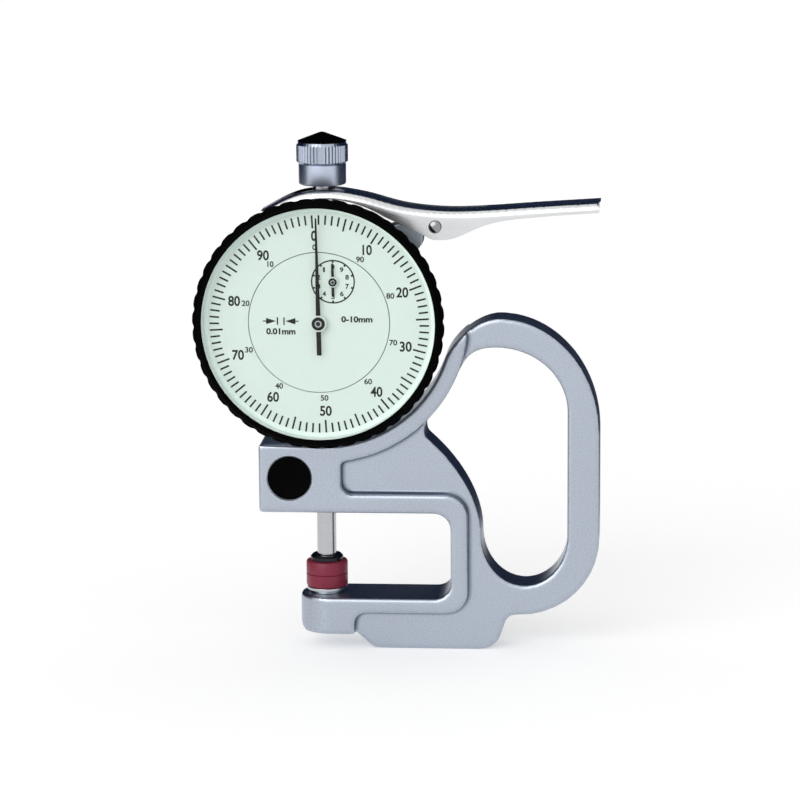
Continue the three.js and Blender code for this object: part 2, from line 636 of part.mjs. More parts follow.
function loopOutline() {
  const path = new THREE.Path();
  const crownX = LOOP_LEFT_REACH + (LOOP_RIGHT_REACH - LOOP_LEFT_REACH) * LOOP_TOP_SHARE;
  const footX = (LOOP_LEFT_REACH + LOOP_RIGHT_REACH) / 2;
  const lowZ = LOOP_BOTTOM_HEIGHT + LOOP_HEIGHT * LOOP_RIGHT_BOTTOM_SHARE;
  const highZ = LOOP_BOTTOM_HEIGHT + LOOP_HEIGHT * LOOP_RIGHT_TOP_SHARE;
  const halfWidth = LOOP_RIGHT_REACH - footX;
  path.moveTo(footX, LOOP_BOTTOM_HEIGHT);
  path.absellipse(footX, lowZ, halfWidth, lowZ - LOOP_BOTTOM_HEIGHT, -Math.PI / 2, 0);
  path.absellipse(crownX, highZ, LOOP_RIGHT_REACH - crownX, LOOP_TOP_HEIGHT - highZ, 0, Math.PI / 2);
  const strutStart = strutPoint(STRUT_OUTER_RADIUS, LOOP_STRUT_ANGLE);
  const run = crownX - strutStart.x;
  const rise = LOOP_TOP_HEIGHT - strutStart.y;
  const [first, second] = LOOP_STRUT_SHARES;
  path.bezierCurveTo(
    strutStart.x + run * first[0], LOOP_TOP_HEIGHT - rise * first[1],
    strutStart.x + run * second[0], LOOP_TOP_HEIGHT - rise * second[1],
    strutStart.x, strutStart.y,
  );
  const notchAngle = -Math.acos((NOTCH_REACH + CLEAR_GAP) / STRUT_OUTER_RADIUS);
  const notchTop = strutPoint(STRUT_OUTER_RADIUS, notchAngle);
  path.absarc(0, DIAL_HEIGHT, STRUT_OUTER_RADIUS, LOOP_STRUT_ANGLE, notchAngle, true);
  const bulgeZ = (notchTop.y + NOTCH_HEIGHT) / 2;
  path.quadraticCurveTo(NOTCH_REACH - NOTCH_BULGE, bulgeZ, NOTCH_REACH, NOTCH_HEIGHT);
  const leftRun = LOOP_LEFT_REACH - NOTCH_REACH;
  const leftRise = NOTCH_HEIGHT - lowZ;
  const [lower, upper] = LOOP_LEFT_SHARES;
  path.bezierCurveTo(
    LOOP_LEFT_REACH - leftRun * upper[0], lowZ + leftRise * upper[1],
    LOOP_LEFT_REACH - leftRun * lower[0], lowZ + leftRise * lower[1],
    LOOP_LEFT_REACH, lowZ,
  );
  path.absellipse(footX, lowZ, halfWidth, lowZ - LOOP_BOTTOM_HEIGHT, Math.PI, Math.PI * 1.5);
  return path;
}

// The thick half of the casting: arm boss, throat rib and the block round the stem.
function bodyOutline() {
  const pocketFloor = BLOCK_BOTTOM_HEIGHT + UPPER_RIB_HEIGHT;
  const pocketAngle = -Math.acos(POCKET_REACH / STRUT_OUTER_RADIUS);
  const pocketTop = strutPoint(STRUT_OUTER_RADIUS, pocketAngle);
  const blockTop = DIAL_HEIGHT - STRUT_INNER_RADIUS;
  return roundedOutline([
    [-ARM_END_REACH, ARM_BOTTOM_HEIGHT, ARM_CORNER_RADIUS],
    [ARM_BOSS_REACH, ARM_BOTTOM_HEIGHT],
    [ARM_BOSS_REACH, ARM_TOP_HEIGHT - LOWER_RIB_HEIGHT, ARM_STEP_RADIUS],
    [RIB_REACH, ARM_TOP_HEIGHT - LOWER_RIB_HEIGHT, RIB_RADIUS],
    [RIB_REACH, pocketFloor, RIB_RADIUS],
    [POCKET_REACH, pocketFloor, POCKET_RADIUS],
    [POCKET_REACH, pocketTop.y, BLOCK_CORNER_RADIUS],
    [pocketTop.x + POCKET_RADIUS, pocketTop.y + CLEAR_GAP],
    [0, blockTop],
    [-BLOCK_LEFT_REACH, BLOCK_TOP_HEIGHT, BLOCK_CORNER_RADIUS],
    [-BLOCK_LEFT_REACH, BLOCK_BOTTOM_HEIGHT, BLOCK_CORNER_RADIUS],
    [THROAT_DEPTH, BLOCK_BOTTOM_HEIGHT, THROAT_RADIUS],
    [THROAT_DEPTH, ARM_TOP_HEIGHT, THROAT_RADIUS],
    [-ARM_END_REACH, ARM_TOP_HEIGHT],
  ]);
}

// The thick strut that follows the bezel from the block to the handle.
function strutOutline() {
  const shape = new THREE.Shape();
  const lowAngle = -Math.PI / 2;
  const innerEnd = -Math.acos(RIB_REACH / STRUT_OUTER_RADIUS);
  const top = strutPoint(STRUT_INNER_RADIUS, STRUT_TOP_ANGLE);
  shape.absarc(0, DIAL_HEIGHT, STRUT_INNER_RADIUS, lowAngle, STRUT_TOP_ANGLE, false);
  shape.lineTo(top.x, HANDLE_TOP_HEIGHT);
  shape.lineTo(RIB_REACH, HANDLE_TOP_HEIGHT);
  shape.lineTo(RIB_REACH, DIAL_HEIGHT + STRUT_OUTER_RADIUS * Math.sin(innerEnd));
  shape.absarc(0, DIAL_HEIGHT, STRUT_OUTER_RADIUS, innerEnd, lowAngle, true);
  shape.closePath();
  return shape;
}

function frameGeometry() {
  const half = BODY_THICKNESS / 2;
  const web = toManifold(plate(webOutline(), -WEB_THICKNESS / 2, WEB_THICKNESS / 2));
  const body = toManifold(plate(bodyOutline(), -half, half));
  const silhouette = toManifold(plate(webOutline(), -half, half));
  const strut = toManifold(plate(strutOutline(), -half, half)).intersect(silhouette);
  const solid = toGeometry(web.add(body).add(strut));
  const endCentre = ARM_BOSS_RADIUS - ARM_END_REACH;
  const wide = half + CUT_OVERRUN;
  const endBlock = block(
    -ARM_END_REACH - CUT_OVERRUN, endCentre, -wide, wide,
    ARM_BOTTOM_HEIGHT - CUT_OVERRUN, ARM_TOP_HEIGHT + CUT_OVERRUN,
  );
  const endRound = heightRod(
    endCentre, ARM_BOSS_RADIUS, ARM_BOTTOM_HEIGHT - 2 * CUT_OVERRUN, ARM_TOP_HEIGHT + 2 * CUT_OVERRUN,
  );
  const endCut = cut(endBlock, endRound);
  const anvilBore = heightRod(
    0, HOLDER_SHANK_RADIUS + PRESS_GAP,
    ARM_TOP_HEIGHT - HOLDER_SHANK_LENGTH - CLEAR_GAP, ARM_TOP_HEIGHT + CUT_OVERRUN,
  );
  const stemBore = heightRod(
    0, STEM_RADIUS + RUN_GAP, STEM_BOTTOM_HEIGHT - CLEAR_GAP, BLOCK_TOP_HEIGHT + CUT_OVERRUN,
  );
  const spindleBore = heightRod(
    0, SPINDLE_RADIUS + CLEAR_GAP, BLOCK_BOTTOM_HEIGHT - CUT_OVERRUN, STEM_BOTTOM_HEIGHT,
  );
  const cotterBore = depthRod(
    -COTTER_OFFSET, COTTER_HEIGHT, COTTER_RADIUS + RUN_GAP, -wide, wide, MEDIUM_SIDES,
  );
  return cut(solid, endCut, anvilBore, stemBore, spindleBore, cotterBore);
}

// Anvil and contact point
const COLLAR_BOTTOM = CONTACT_HEIGHT + CONTACT_GAP + CERAMIC_THICKNESS + PRESS_GAP;
const SPINDLE_BOTTOM = COLLAR_BOTTOM + COLLAR_HEIGHT + PRESS_GAP;
const SPINDLE_TOP = SLEEVE_BOTTOM_HEIGHT - PRESS_GAP;

function anvilHolderGeometry() {
  const flangeTop = CONTACT_HEIGHT - CERAMIC_THICKNESS - PRESS_GAP;
  const flangeBottom = flangeTop - HOLDER_FLANGE_THICKNESS;
  const seat = ARM_TOP_HEIGHT + PRESS_GAP;
  return turnedAboutHeight([
    [0, ARM_TOP_HEIGHT - HOLDER_SHANK_LENGTH], [HOLDER_SHANK_RADIUS, ARM_TOP_HEIGHT - HOLDER_SHANK_LENGTH],
    [HOLDER_SHANK_RADIUS, seat], [HOLDER_BOSS_RADIUS, seat], [HOLDER_BOSS_RADIUS, flangeBottom],
    [HOLDER_FLANGE_RADIUS, flangeBottom], [HOLDER_FLANGE_RADIUS, flangeTop], [0, flangeTop],
  ], MEDIUM_SIDES);
}

function ceramicGeometry(faceHeight, direction) {
  const back = faceHeight + direction * CERAMIC_THICKNESS;
  return turnedAboutHeight([
    [0, faceHeight], [CONTACT_RADIUS, faceHeight],
    [CONTACT_RADIUS, back - direction * CERAMIC_CHAMFER],
    [CONTACT_RADIUS - CERAMIC_CHAMFER, back], [0, back],
  ], MEDIUM_SIDES);
}

function contactHolderGeometry() {
  const top = COLLAR_BOTTOM + COLLAR_HEIGHT;
  return turnedAboutHeight([
    [0, COLLAR_BOTTOM], [COLLAR_RADIUS, COLLAR_BOTTOM], [COLLAR_RADIUS, top - COLLAR_CHAMFER],
    [COLLAR_RADIUS - COLLAR_CHAMFER, top], [STUD_RADIUS, top],
    [STUD_RADIUS, top + STUD_LENGTH], [0, top + STUD_LENGTH],
  ], MEDIUM_SIDES);
}

// Spindle with its rack teeth on the left side
const RACK_PINION_RADIUS = (RACK_PITCH * RACK_PINION_TEETH) / (2 * Math.PI);
const DRIVE_REACH = -(RACK_PITCH_REACH + RACK_PINION_RADIUS);
const DRIVE_DROP = Math.sqrt(GEAR_CENTRE_DISTANCE ** 2 - DRIVE_REACH ** 2);
const COUNTER_RISE = Math.sqrt(GEAR_CENTRE_DISTANCE ** 2 - COUNTER_REACH ** 2);
const DRIVE_HEIGHT = DIAL_HEIGHT - DRIVE_DROP;
const COUNTER_HEIGHT = DIAL_HEIGHT + COUNTER_RISE;

function pillarPlaces(shares) {
  return shares.map(([x, z]) => new THREE.Vector2(x * GEAR_CENTRE_DISTANCE, z * GEAR_CENTRE_DISTANCE));
}

// The second rear pillar stands beside the return spring, and the third above the guide block.
const MID_PILLARS = pillarPlaces(MID_PILLAR_SHARES);
const REAR_PILLARS = pillarPlaces(REAR_PILLAR_SHARES);
REAR_PILLARS[1].setX(
  SPRING_REACH + SPRING_RADIUS + SPRING_WIRE_RADIUS + SPRING_PILLAR_GAP + PILLAR_RADIUS,
);
const GUIDE_TOP_RISE = REAR_PILLARS[2].y - PILLAR_RADIUS - GUIDE_PILLAR_GAP;
const GUIDE_PIN_HEIGHT = DIAL_HEIGHT + GUIDE_TOP_RISE - GUIDE_BLOCK_DEPTH - SPINDLE_TRAVEL;

function rackCutter() {
  const shape = new THREE.Shape();
  const outside = -SPINDLE_RADIUS - CUT_OVERRUN;
  const tip = -(RACK_PITCH_REACH + RACK_ADDENDUM);
  const root = -(RACK_PITCH_REACH - RACK_DEDENDUM);
  const firstTooth = DRIVE_HEIGHT - RACK_PITCH * Math.round((RACK_TEETH - SPINDLE_TRAVEL / RACK_PITCH) / 2)
    - SPINDLE_TRAVEL;
  const tipHalf = RACK_PITCH * TOOTH_TIP_SHARE / 2;
  const rootHalf = RACK_PITCH * (2 * TOOTH_FILL_SHARE - TOOTH_TIP_SHARE) / 2;
  shape.moveTo(outside, firstTooth - RACK_PITCH / 2);
  shape.lineTo(root, firstTooth - RACK_PITCH / 2);
  for (let i = 0; i < RACK_TEETH; i += 1) {
    const z = firstTooth + i * RACK_PITCH;
    shape.lineTo(root, z - rootHalf);
    shape.lineTo(tip, z - tipHalf);
    shape.lineTo(tip, z + tipHalf);
    shape.lineTo(root, z + rootHalf);
  }
  const end = firstTooth + (RACK_TEETH - 1 / 2) * RACK_PITCH;
  shape.lineTo(root, end);
  shape.lineTo(outside, end);
  shape.closePath();
  const reach = SPINDLE_RADIUS + CUT_OVERRUN;
  return plate(shape, -reach, reach);
}

function spindleGeometry() {
  const rod = turnedAboutHeight([
    [0, SPINDLE_BOTTOM], [SPINDLE_RADIUS, SPINDLE_BOTTOM], [SPINDLE_RADIUS, SPINDLE_TOP],
    [SPINDLE_TENON_RADIUS, SPINDLE_TOP], [SPINDLE_TENON_RADIUS, SPINDLE_TOP + SPINDLE_TENON_LENGTH],
    [0, SPINDLE_TOP + SPINDLE_TENON_LENGTH],
  ], MEDIUM_SIDES);
  const studHole = heightRod(
    0, STUD_RADIUS + PRESS_GAP,
    SPINDLE_BOTTOM - CUT_OVERRUN, SPINDLE_BOTTOM + STUD_LENGTH + CLEAR_GAP, SMALL_SIDES,
  );
  const pinHole = rodBetween(
    new THREE.Vector3(0, 0, GUIDE_PIN_HEIGHT),
    new THREE.Vector3(SPINDLE_RADIUS + CUT_OVERRUN, 0, GUIDE_PIN_HEIGHT),
    GUIDE_PIN_RADIUS + PRESS_GAP, SMALL_SIDES,
  );
  return cut(rod, rackCutter(), studHole, pinHole);
}

function guidePinGeometry() {
  return rodBetween(
    new THREE.Vector3(CLEAR_GAP, 0, GUIDE_PIN_HEIGHT),
    new THREE.Vector3(GUIDE_PIN_REACH, 0, GUIDE_PIN_HEIGHT),
    GUIDE_PIN_RADIUS, SMALL_SIDES,
  );
}

// Cap on the top of the spindle
const KNOB_BOTTOM = SLEEVE_BOTTOM_HEIGHT + SLEEVE_HEIGHT + PRESS_GAP;
const KNOB_TOP = KNOB_BOTTOM + KNOB_HEIGHT;

function capSleeveGeometry() {
  const top = SLEEVE_BOTTOM_HEIGHT + SLEEVE_HEIGHT;
  const bore = SPINDLE_TENON_RADIUS + PRESS_GAP;
  return turnedAboutHeight([
    [bore, SLEEVE_BOTTOM_HEIGHT], [SLEEVE_RADIUS - KNOB_CHAMFER, SLEEVE_BOTTOM_HEIGHT],
    [SLEEVE_RADIUS, SLEEVE_BOTTOM_HEIGHT + KNOB_CHAMFER], [SLEEVE_RADIUS, top],
    [bore, top], [bore, SLEEVE_BOTTOM_HEIGHT],
  ], MEDIUM_SIDES);
}

function capKnobGeometry() {
  const shape = new THREE.Shape();
  for (let i = 0; i < 2 * KNURL_COUNT; i += 1) {
    const radius = KNOB_RADIUS - (i % 2) * KNURL_DEPTH;
    const angle = (i * Math.PI) / KNURL_COUNT;
    const x = radius * Math.cos(angle);
    const y = radius * Math.sin(angle);
    if (i === 0) {
      shape.moveTo(x, y);
    } else {
      shape.lineTo(x, y);
    }
  }
  shape.closePath();
  const knurl = new THREE.ExtrudeGeometry(shape, { depth: KNOB_HEIGHT, bevelEnabled: false });
  const wide = KNOB_RADIUS + CUT_OVERRUN;
  const rim = turnedAboutHeight([
    [wide, KNOB_TOP], [wide, KNOB_TOP - 2 * KNOB_CHAMFER], [KNOB_RADIUS, KNOB_TOP - 2 * KNOB_CHAMFER],
    [INSERT_RADIUS, KNOB_TOP], [wide, KNOB_TOP],
  ], MEDIUM_SIDES);
  const bore = heightRod(
    0, SPINDLE_TENON_RADIUS + PRESS_GAP, KNOB_BOTTOM - CUT_OVERRUN, KNOB_TOP + CUT_OVERRUN, SMALL_SIDES,
  );
  const socket = heightRod(
    0, INSERT_SPIGOT_RADIUS + PRESS_GAP,
    KNOB_TOP - INSERT_SPIGOT_LENGTH - CLEAR_GAP, KNOB_TOP + CUT_OVERRUN,
  );
  return cut(moved(knurl, 0, 0, KNOB_BOTTOM), rim, bore, socket);
}

function capInsertGeometry() {
  const base = KNOB_TOP + PRESS_GAP;
  return turnedAboutHeight([
    [0, KNOB_TOP - INSERT_SPIGOT_LENGTH], [INSERT_SPIGOT_RADIUS, KNOB_TOP - INSERT_SPIGOT_LENGTH],
    [INSERT_SPIGOT_RADIUS, base], [INSERT_RADIUS, base], [INSERT_RADIUS, base + INSERT_RIM_HEIGHT],
    [0, base + INSERT_RIM_HEIGHT + INSERT_CONE_HEIGHT],
  ], MEDIUM_SIDES);
}

// Stem, bushes and the cotter clamp that holds the stem in the block

function caseFloorHeight(reach) {
  return DIAL_HEIGHT - Math.sqrt(CASE_INNER_RADIUS ** 2 - reach ** 2);
}

const STEM_FLANGE_BOTTOM = caseFloorHeight(STEM_FLANGE_RADIUS) + SEAT_GAP;

function stemGeometry() {
  const top = STEM_FLANGE_BOTTOM + STEM_FLANGE_THICKNESS;
  return turnedAboutHeight([
    [STEM_BORE_RADIUS, STEM_BOTTOM_HEIGHT], [STEM_RADIUS, STEM_BOTTOM_HEIGHT],
    [STEM_RADIUS, STEM_FLANGE_BOTTOM], [STEM_FLANGE_RADIUS, STEM_FLANGE_BOTTOM],
    [STEM_FLANGE_RADIUS, top], [STEM_BORE_RADIUS, top], [STEM_BORE_RADIUS, STEM_BOTTOM_HEIGHT],
  ], MEDIUM_SIDES);
}

function stemBushGeometry() {
  const inner = SPINDLE_RADIUS + RUN_GAP;
  const low = STEM_BOTTOM_HEIGHT + SEAT_GAP;
  return turnedAboutHeight(ringProfile(inner, inner + BUSH_WALL, low, low + BUSH_LENGTH), MEDIUM_SIDES);
}

function upperBushGeometry() {
  const inner = SPINDLE_RADIUS + RUN_GAP;
  const headBottom = CASE_TOP + SEAT_GAP;
  const headTop = headBottom + UPPER_BUSH_HEAD_HEIGHT;
  const low = CASE_TOP - UPPER_BUSH_DEPTH;
  return turnedAboutHeight([
    [inner, low], [UPPER_BUSH_RADIUS, low], [UPPER_BUSH_RADIUS, headBottom],
    [UPPER_BUSH_HEAD_RADIUS, headBottom], [UPPER_BUSH_HEAD_RADIUS, headTop], [inner, headTop], [inner, low],
  ], MEDIUM_SIDES);
}

function cotterGeometry(direction) {
  const outer = direction * (BODY_THICKNESS / 2 - COTTER_RECESS);
  const inner = direction * COTTER_SPLIT;
  const back = Math.min(outer, inner);
  const front = Math.max(outer, inner);
  const plug = depthRod(-COTTER_OFFSET, COTTER_HEIGHT, COTTER_RADIUS, back, front, MEDIUM_SIDES);
  const stemSpace = heightRod(
    0, STEM_RADIUS + PRESS_GAP, COTTER_HEIGHT - 2 * COTTER_RADIUS, COTTER_HEIGHT + 2 * COTTER_RADIUS,
  );
  const screwX = -COTTER_OFFSET - CLAMP_SCREW_OFFSET;
  const holeBack = direction > 0 ? 0 : back - CUT_OVERRUN;
  const holeFront = direction > 0 ? COTTER_SPLIT + CLAMP_THREAD_DEPTH + CLEAR_GAP : 0;
  const holeRadius = CLAMP_SCREW_RADIUS + PRESS_GAP;
  const screwHole = depthRod(screwX, COTTER_HEIGHT, holeRadius, holeBack, holeFront);
  const tools = [stemSpace, screwHole];
  if (direction < 0) {
    tools.push(depthRod(
      screwX, COTTER_HEIGHT, CLAMP_HEAD_RADIUS + SEAT_GAP,
      back - CUT_OVERRUN, back + CLAMP_HEAD_HEIGHT + SEAT_GAP,
    ));
  }
  return cut(plug, ...tools);
}

function clampScrewGeometry() {
  const screwX = -COTTER_OFFSET - CLAMP_SCREW_OFFSET;
  const headBack = BODY_THICKNESS / 2 - COTTER_RECESS;
  const profile = [
    [0, -headBack], [CLAMP_HEAD_RADIUS, -headBack], [CLAMP_HEAD_RADIUS, -headBack + CLAMP_HEAD_HEIGHT],
    [CLAMP_SCREW_RADIUS, -headBack + CLAMP_HEAD_HEIGHT],
    [CLAMP_SCREW_RADIUS, COTTER_SPLIT + CLAMP_THREAD_DEPTH], [0, COTTER_SPLIT + CLAMP_THREAD_DEPTH],
  ];
  return moved(turnedAboutDepth(profile, SMALL_SIDES), screwX, 0, COTTER_HEIGHT);
}

// Indicator case with its bulkhead, spigot, dial seat and cover bosses
function coverScrewPlaces() {
  const places = [];
  for (let i = 0; i < COVER_SCREW_COUNT; i += 1) {
    const angle = ((i + 1 / 2) * 2 * Math.PI) / COVER_SCREW_COUNT;
    const place = new THREE.Vector2(Math.cos(angle), Math.sin(angle));
    places.push(place.multiplyScalar(COVER_BOSS_PITCH_RADIUS));
  }
  return places;
}

function bracketScrewEnds(side) {
  const angle = (BRACKET_START_ANGLE + BRACKET_END_ANGLE) / 2;
  const direction = new THREE.Vector3(Math.cos(angle), 0, Math.sin(angle));
  const origin = new THREE.Vector3(0, side * BRACKET_SCREW_SPREAD, DIAL_HEIGHT);
  return { direction, origin };
}

function alongScrew(side, distance) {
  const { direction, origin } = bracketScrewEnds(side);
  return origin.clone().addScaledVector(direction, distance);
}

function caseGeometry() {
  const bulkheadBack = CASE_FRONT_DEPTH - BULKHEAD_THICKNESS;
  const spigotFront = CASE_FRONT_DEPTH + SPIGOT_LENGTH;
  const seatFront = CASE_FRONT_DEPTH + DIAL_SEAT_HEIGHT;
  const shell = turnedAboutDepth([
    [0, bulkheadBack], [CASE_INNER_RADIUS, bulkheadBack], [CASE_INNER_RADIUS, -CASE_BACK_DEPTH],
    [CASE_RADIUS, -CASE_BACK_DEPTH], [CASE_RADIUS, CASE_FRONT_DEPTH],
    [SPIGOT_RADIUS, CASE_FRONT_DEPTH], [SPIGOT_RADIUS, spigotFront],
    [SPIGOT_RADIUS - SPIGOT_WALL, spigotFront], [SPIGOT_RADIUS - SPIGOT_WALL, CASE_FRONT_DEPTH],
    [DIAL_SEAT_OUTER_RADIUS, CASE_FRONT_DEPTH], [DIAL_SEAT_OUTER_RADIUS, seatFront],
    [DIAL_SEAT_OUTER_RADIUS - DIAL_SEAT_WALL, seatFront],
    [DIAL_SEAT_OUTER_RADIUS - DIAL_SEAT_WALL, CASE_FRONT_DEPTH], [0, CASE_FRONT_DEPTH],
  ], LARGE_SIDES);
  let solid = toManifold(moved(shell, 0, 0, DIAL_HEIGHT));
  for (const place of coverScrewPlaces()) {
    const z = DIAL_HEIGHT + place.y;
    const bossFront = COVER_BOSS_LENGTH - CASE_BACK_DEPTH;
    const boss = depthRod(place.x, z, COVER_BOSS_RADIUS, -CASE_BACK_DEPTH, bossFront);
    const hole = depthRod(
      place.x, z, COVER_SCREW_RADIUS + PRESS_GAP, -CASE_BACK_DEPTH - CUT_OVERRUN, bossFront - CLEAR_GAP,
    );
    solid = solid.add(toManifold(boss)).subtract(toManifold(hole));
  }
  const caseBottom = DIAL_HEIGHT - CASE_RADIUS;
  const cutBack = bulkheadBack - CUT_OVERRUN;
  const cutFront = CASE_FRONT_DEPTH + CUT_OVERRUN;
  const tools = [
    heightRod(0, STEM_RADIUS + PRESS_GAP, caseBottom - CUT_OVERRUN, STEM_FLANGE_BOTTOM + CUT_OVERRUN),
    heightRod(0, UPPER_BUSH_RADIUS + PRESS_GAP, CASE_TOP - UPPER_BUSH_DEPTH, CASE_TOP + CUT_OVERRUN),
    depthRod(0, DIAL_HEIGHT, JEWEL_RADIUS, cutBack, cutFront),
    depthRod(COUNTER_REACH, COUNTER_HEIGHT, JEWEL_RADIUS, cutBack, cutFront),
  ];
  for (const side of [-1, 1]) {
    tools.push(rodBetween(
      alongScrew(side, CASE_INNER_RADIUS - CUT_OVERRUN), alongScrew(side, CASE_RADIUS + CUT_OVERRUN),
      BRACKET_SCREW_RADIUS + PRESS_GAP, SMALL_SIDES,
    ));
  }
  for (const place of REAR_PILLARS) {
    tools.push(depthRod(place.x, DIAL_HEIGHT + place.y, TENON_RADIUS + PRESS_GAP, cutBack, cutFront));
  }
  return cut(toGeometry(solid), ...tools);
}

function backCoverGeometry() {
  const front = -CASE_BACK_DEPTH - SEAT_GAP;
  const back = front - COVER_THICKNESS;
  const shape = new THREE.Shape();
  circlePath(0, DIAL_HEIGHT, COVER_RADIUS, LARGE_SIDES).getPoints().forEach((point, i) => {
    if (i === 0) {
      shape.moveTo(point.x, point.y);
    } else {
      shape.lineTo(point.x, point.y);
    }
  });
  const holeRadius = COVER_SCREW_RADIUS + PRESS_GAP;
  for (const place of coverScrewPlaces()) {
    shape.holes.push(circlePath(place.x, DIAL_HEIGHT + place.y, holeRadius, SMALL_SIDES));
  }
  return closed(plate(shape, back, front));
}

function coverScrewGeometry() {
  const seat = -CASE_BACK_DEPTH - SEAT_GAP - COVER_THICKNESS - SEAT_GAP;
  return turnedAboutDepth([
    [0, seat - COVER_SCREW_HEAD_HEIGHT], [COVER_SCREW_HEAD_RADIUS, seat - COVER_SCREW_HEAD_HEIGHT],
    [COVER_SCREW_HEAD_RADIUS, seat], [COVER_SCREW_RADIUS, seat],
    [COVER_SCREW_RADIUS, seat + COVER_SCREW_LENGTH], [0, seat + COVER_SCREW_LENGTH],
  ], SMALL_SIDES);
}

// Bezel and what it carries
const BEZEL_BACK = CASE_FRONT_DEPTH + CLEAR_GAP;
const LEDGE_FRONT = BEZEL_BACK + BEZEL_LEDGE_THICKNESS;
const RING_BACK = LEDGE_FRONT + SEAT_GAP;
const RING_FRONT = RING_BACK + DIAL_THICKNESS;

function bezelGeometry() {
  const inner = SPIGOT_RADIUS + RUN_GAP;
  const body = turnedAboutDepth([
    [inner, BEZEL_BACK], [BEZEL_BODY_RADIUS, BEZEL_BACK],
    [BEZEL_BODY_RADIUS, BEZEL_FRONT - SCALLOP_DEPTH], [BEZEL_BODY_RADIUS - SCALLOP_DEPTH, BEZEL_FRONT],
    [BEZEL_LIP_RADIUS, BEZEL_FRONT], [BEZEL_LIP_RADIUS, LIP_BACK], [BEZEL_BORE_RADIUS, LIP_BACK],
    [BEZEL_BORE_RADIUS, LEDGE_FRONT], [inner, LEDGE_FRONT], [inner, BEZEL_BACK],
  ], LARGE_SIDES);
  const shape = new THREE.Shape();
  const steps = BEZEL_SCALLOPS * 2;
  for (let i = 0; i < steps; i += 1) {
    const radius = BEZEL_RADIUS - (i % 2) * SCALLOP_DEPTH;
    const angle = (i * 2 * Math.PI) / steps;
    const x = radius * Math.cos(angle);
    const z = radius * Math.sin(angle);
    if (i === 0) {
      shape.moveTo(x, z);
    } else {
      shape.lineTo(x, z);
    }
  }
  shape.closePath();
  const inside = (BEZEL_BORE_RADIUS + BEZEL_BODY_RADIUS) / 2;
  shape.holes.push(circlePath(0, 0, inside, LARGE_SIDES));
  const bandBack = BEZEL_BACK + BEZEL_BAND_START;
  const band = plate(shape, bandBack, bandBack + BEZEL_BAND_LENGTH);
  return moved(join(body, band), 0, 0, DIAL_HEIGHT);
}

function crystalGeometry() {
  const radius = BEZEL_BORE_RADIUS - SEAT_GAP;
  const rim = BEZEL_LIP_RADIUS - SEAT_GAP;
  const crystal = turnedAboutDepth([
    [0, CRYSTAL_BACK], [radius, CRYSTAL_BACK], [radius, CRYSTAL_FRONT], [rim, CRYSTAL_FRONT],
    [rim - CRYSTAL_DOME * CRYSTAL_EDGE_SHARE, CRYSTAL_FRONT + CRYSTAL_DOME * CRYSTAL_EDGE_SHARE],
    [rim / 2, CRYSTAL_FRONT + CRYSTAL_DOME * CRYSTAL_MIDDLE_SHARE], [0, CRYSTAL_FRONT + CRYSTAL_DOME],
  ], LARGE_SIDES);
  return moved(crystal, 0, 0, DIAL_HEIGHT);
}

function gasketGeometry() {
  const outer = BEZEL_BORE_RADIUS - SEAT_GAP;
  const ring = ringProfile(outer - GASKET_WALL, outer, RING_FRONT + SEAT_GAP, CRYSTAL_BACK - SEAT_GAP);
  return moved(turnedAboutDepth(ring, LARGE_SIDES), 0, 0, DIAL_HEIGHT);
}

function dialRingGeometry() {
  const outer = BEZEL_BORE_RADIUS - SEAT_GAP;
  const profile = ringProfile(DIAL_RING_INNER_RADIUS, outer, RING_BACK, RING_FRONT);
  return moved(turnedAboutDepth(profile, LARGE_SIDES), 0, 0, DIAL_HEIGHT);
}

function innerDialGeometry() {
  const disc = turnedAboutDepth(
    rodProfile(INNER_DIAL_RADIUS, INNER_DIAL_BACK, INNER_DIAL_BACK + DIAL_THICKNESS), LARGE_SIDES,
  );
  const back = INNER_DIAL_BACK - CUT_OVERRUN;
  const front = INNER_DIAL_BACK + DIAL_THICKNESS + CUT_OVERRUN;
  return cut(
    moved(disc, 0, 0, DIAL_HEIGHT),
    depthRod(0, DIAL_HEIGHT, ARBOR_HUB_RADIUS, back, front),
    depthRod(COUNTER_REACH, COUNTER_HEIGHT, ARBOR_HUB_RADIUS, back, front),
  );
}

// Gears and arbors
const GEAR_MODULE = (2 * GEAR_CENTRE_DISTANCE) / (GEAR_TEETH + PINION_TEETH);
const RACK_MODULE = RACK_PITCH / Math.PI;

// A toothed disc with the middle of one tooth at the given angle from +X.
function gearShape(teeth, module, toothAngle, holeRadius) {
  const pitchRadius = (teeth * module) / 2;
  const tip = pitchRadius + module * TOOTH_ADDENDUM_SHARE;
  const root = pitchRadius - module * TOOTH_DEDENDUM_SHARE;
  const pitch = (2 * Math.PI) / teeth;
  const tipHalf = (pitch * TOOTH_TIP_SHARE) / 2;
  const rootHalf = (pitch * (2 * TOOTH_FILL_SHARE - TOOTH_TIP_SHARE)) / 2;
  const fine = teeth === GEAR_TEETH;
  const shape = new THREE.Shape();
  for (let i = 0; i < teeth; i += 1) {
    const angle = toothAngle + i * pitch;
    const corners = fine
      ? [[root, -rootHalf], [tip, 0], [root, rootHalf]]
      : [[root, -rootHalf], [tip, -tipHalf], [tip, tipHalf], [root, rootHalf]];
    corners.forEach(([radius, offset], k) => {
      const x = radius * Math.cos(angle + offset);
      const z = radius * Math.sin(angle + offset);
      if (i === 0 && k === 0) {
        shape.moveTo(x, z);
      } else {
        shape.lineTo(x, z);
      }
    });
  }
  shape.closePath();
  if (holeRadius > 0) {
    shape.holes.push(circlePath(0, 0, holeRadius, SMALL_SIDES));
  }
  return shape;
}

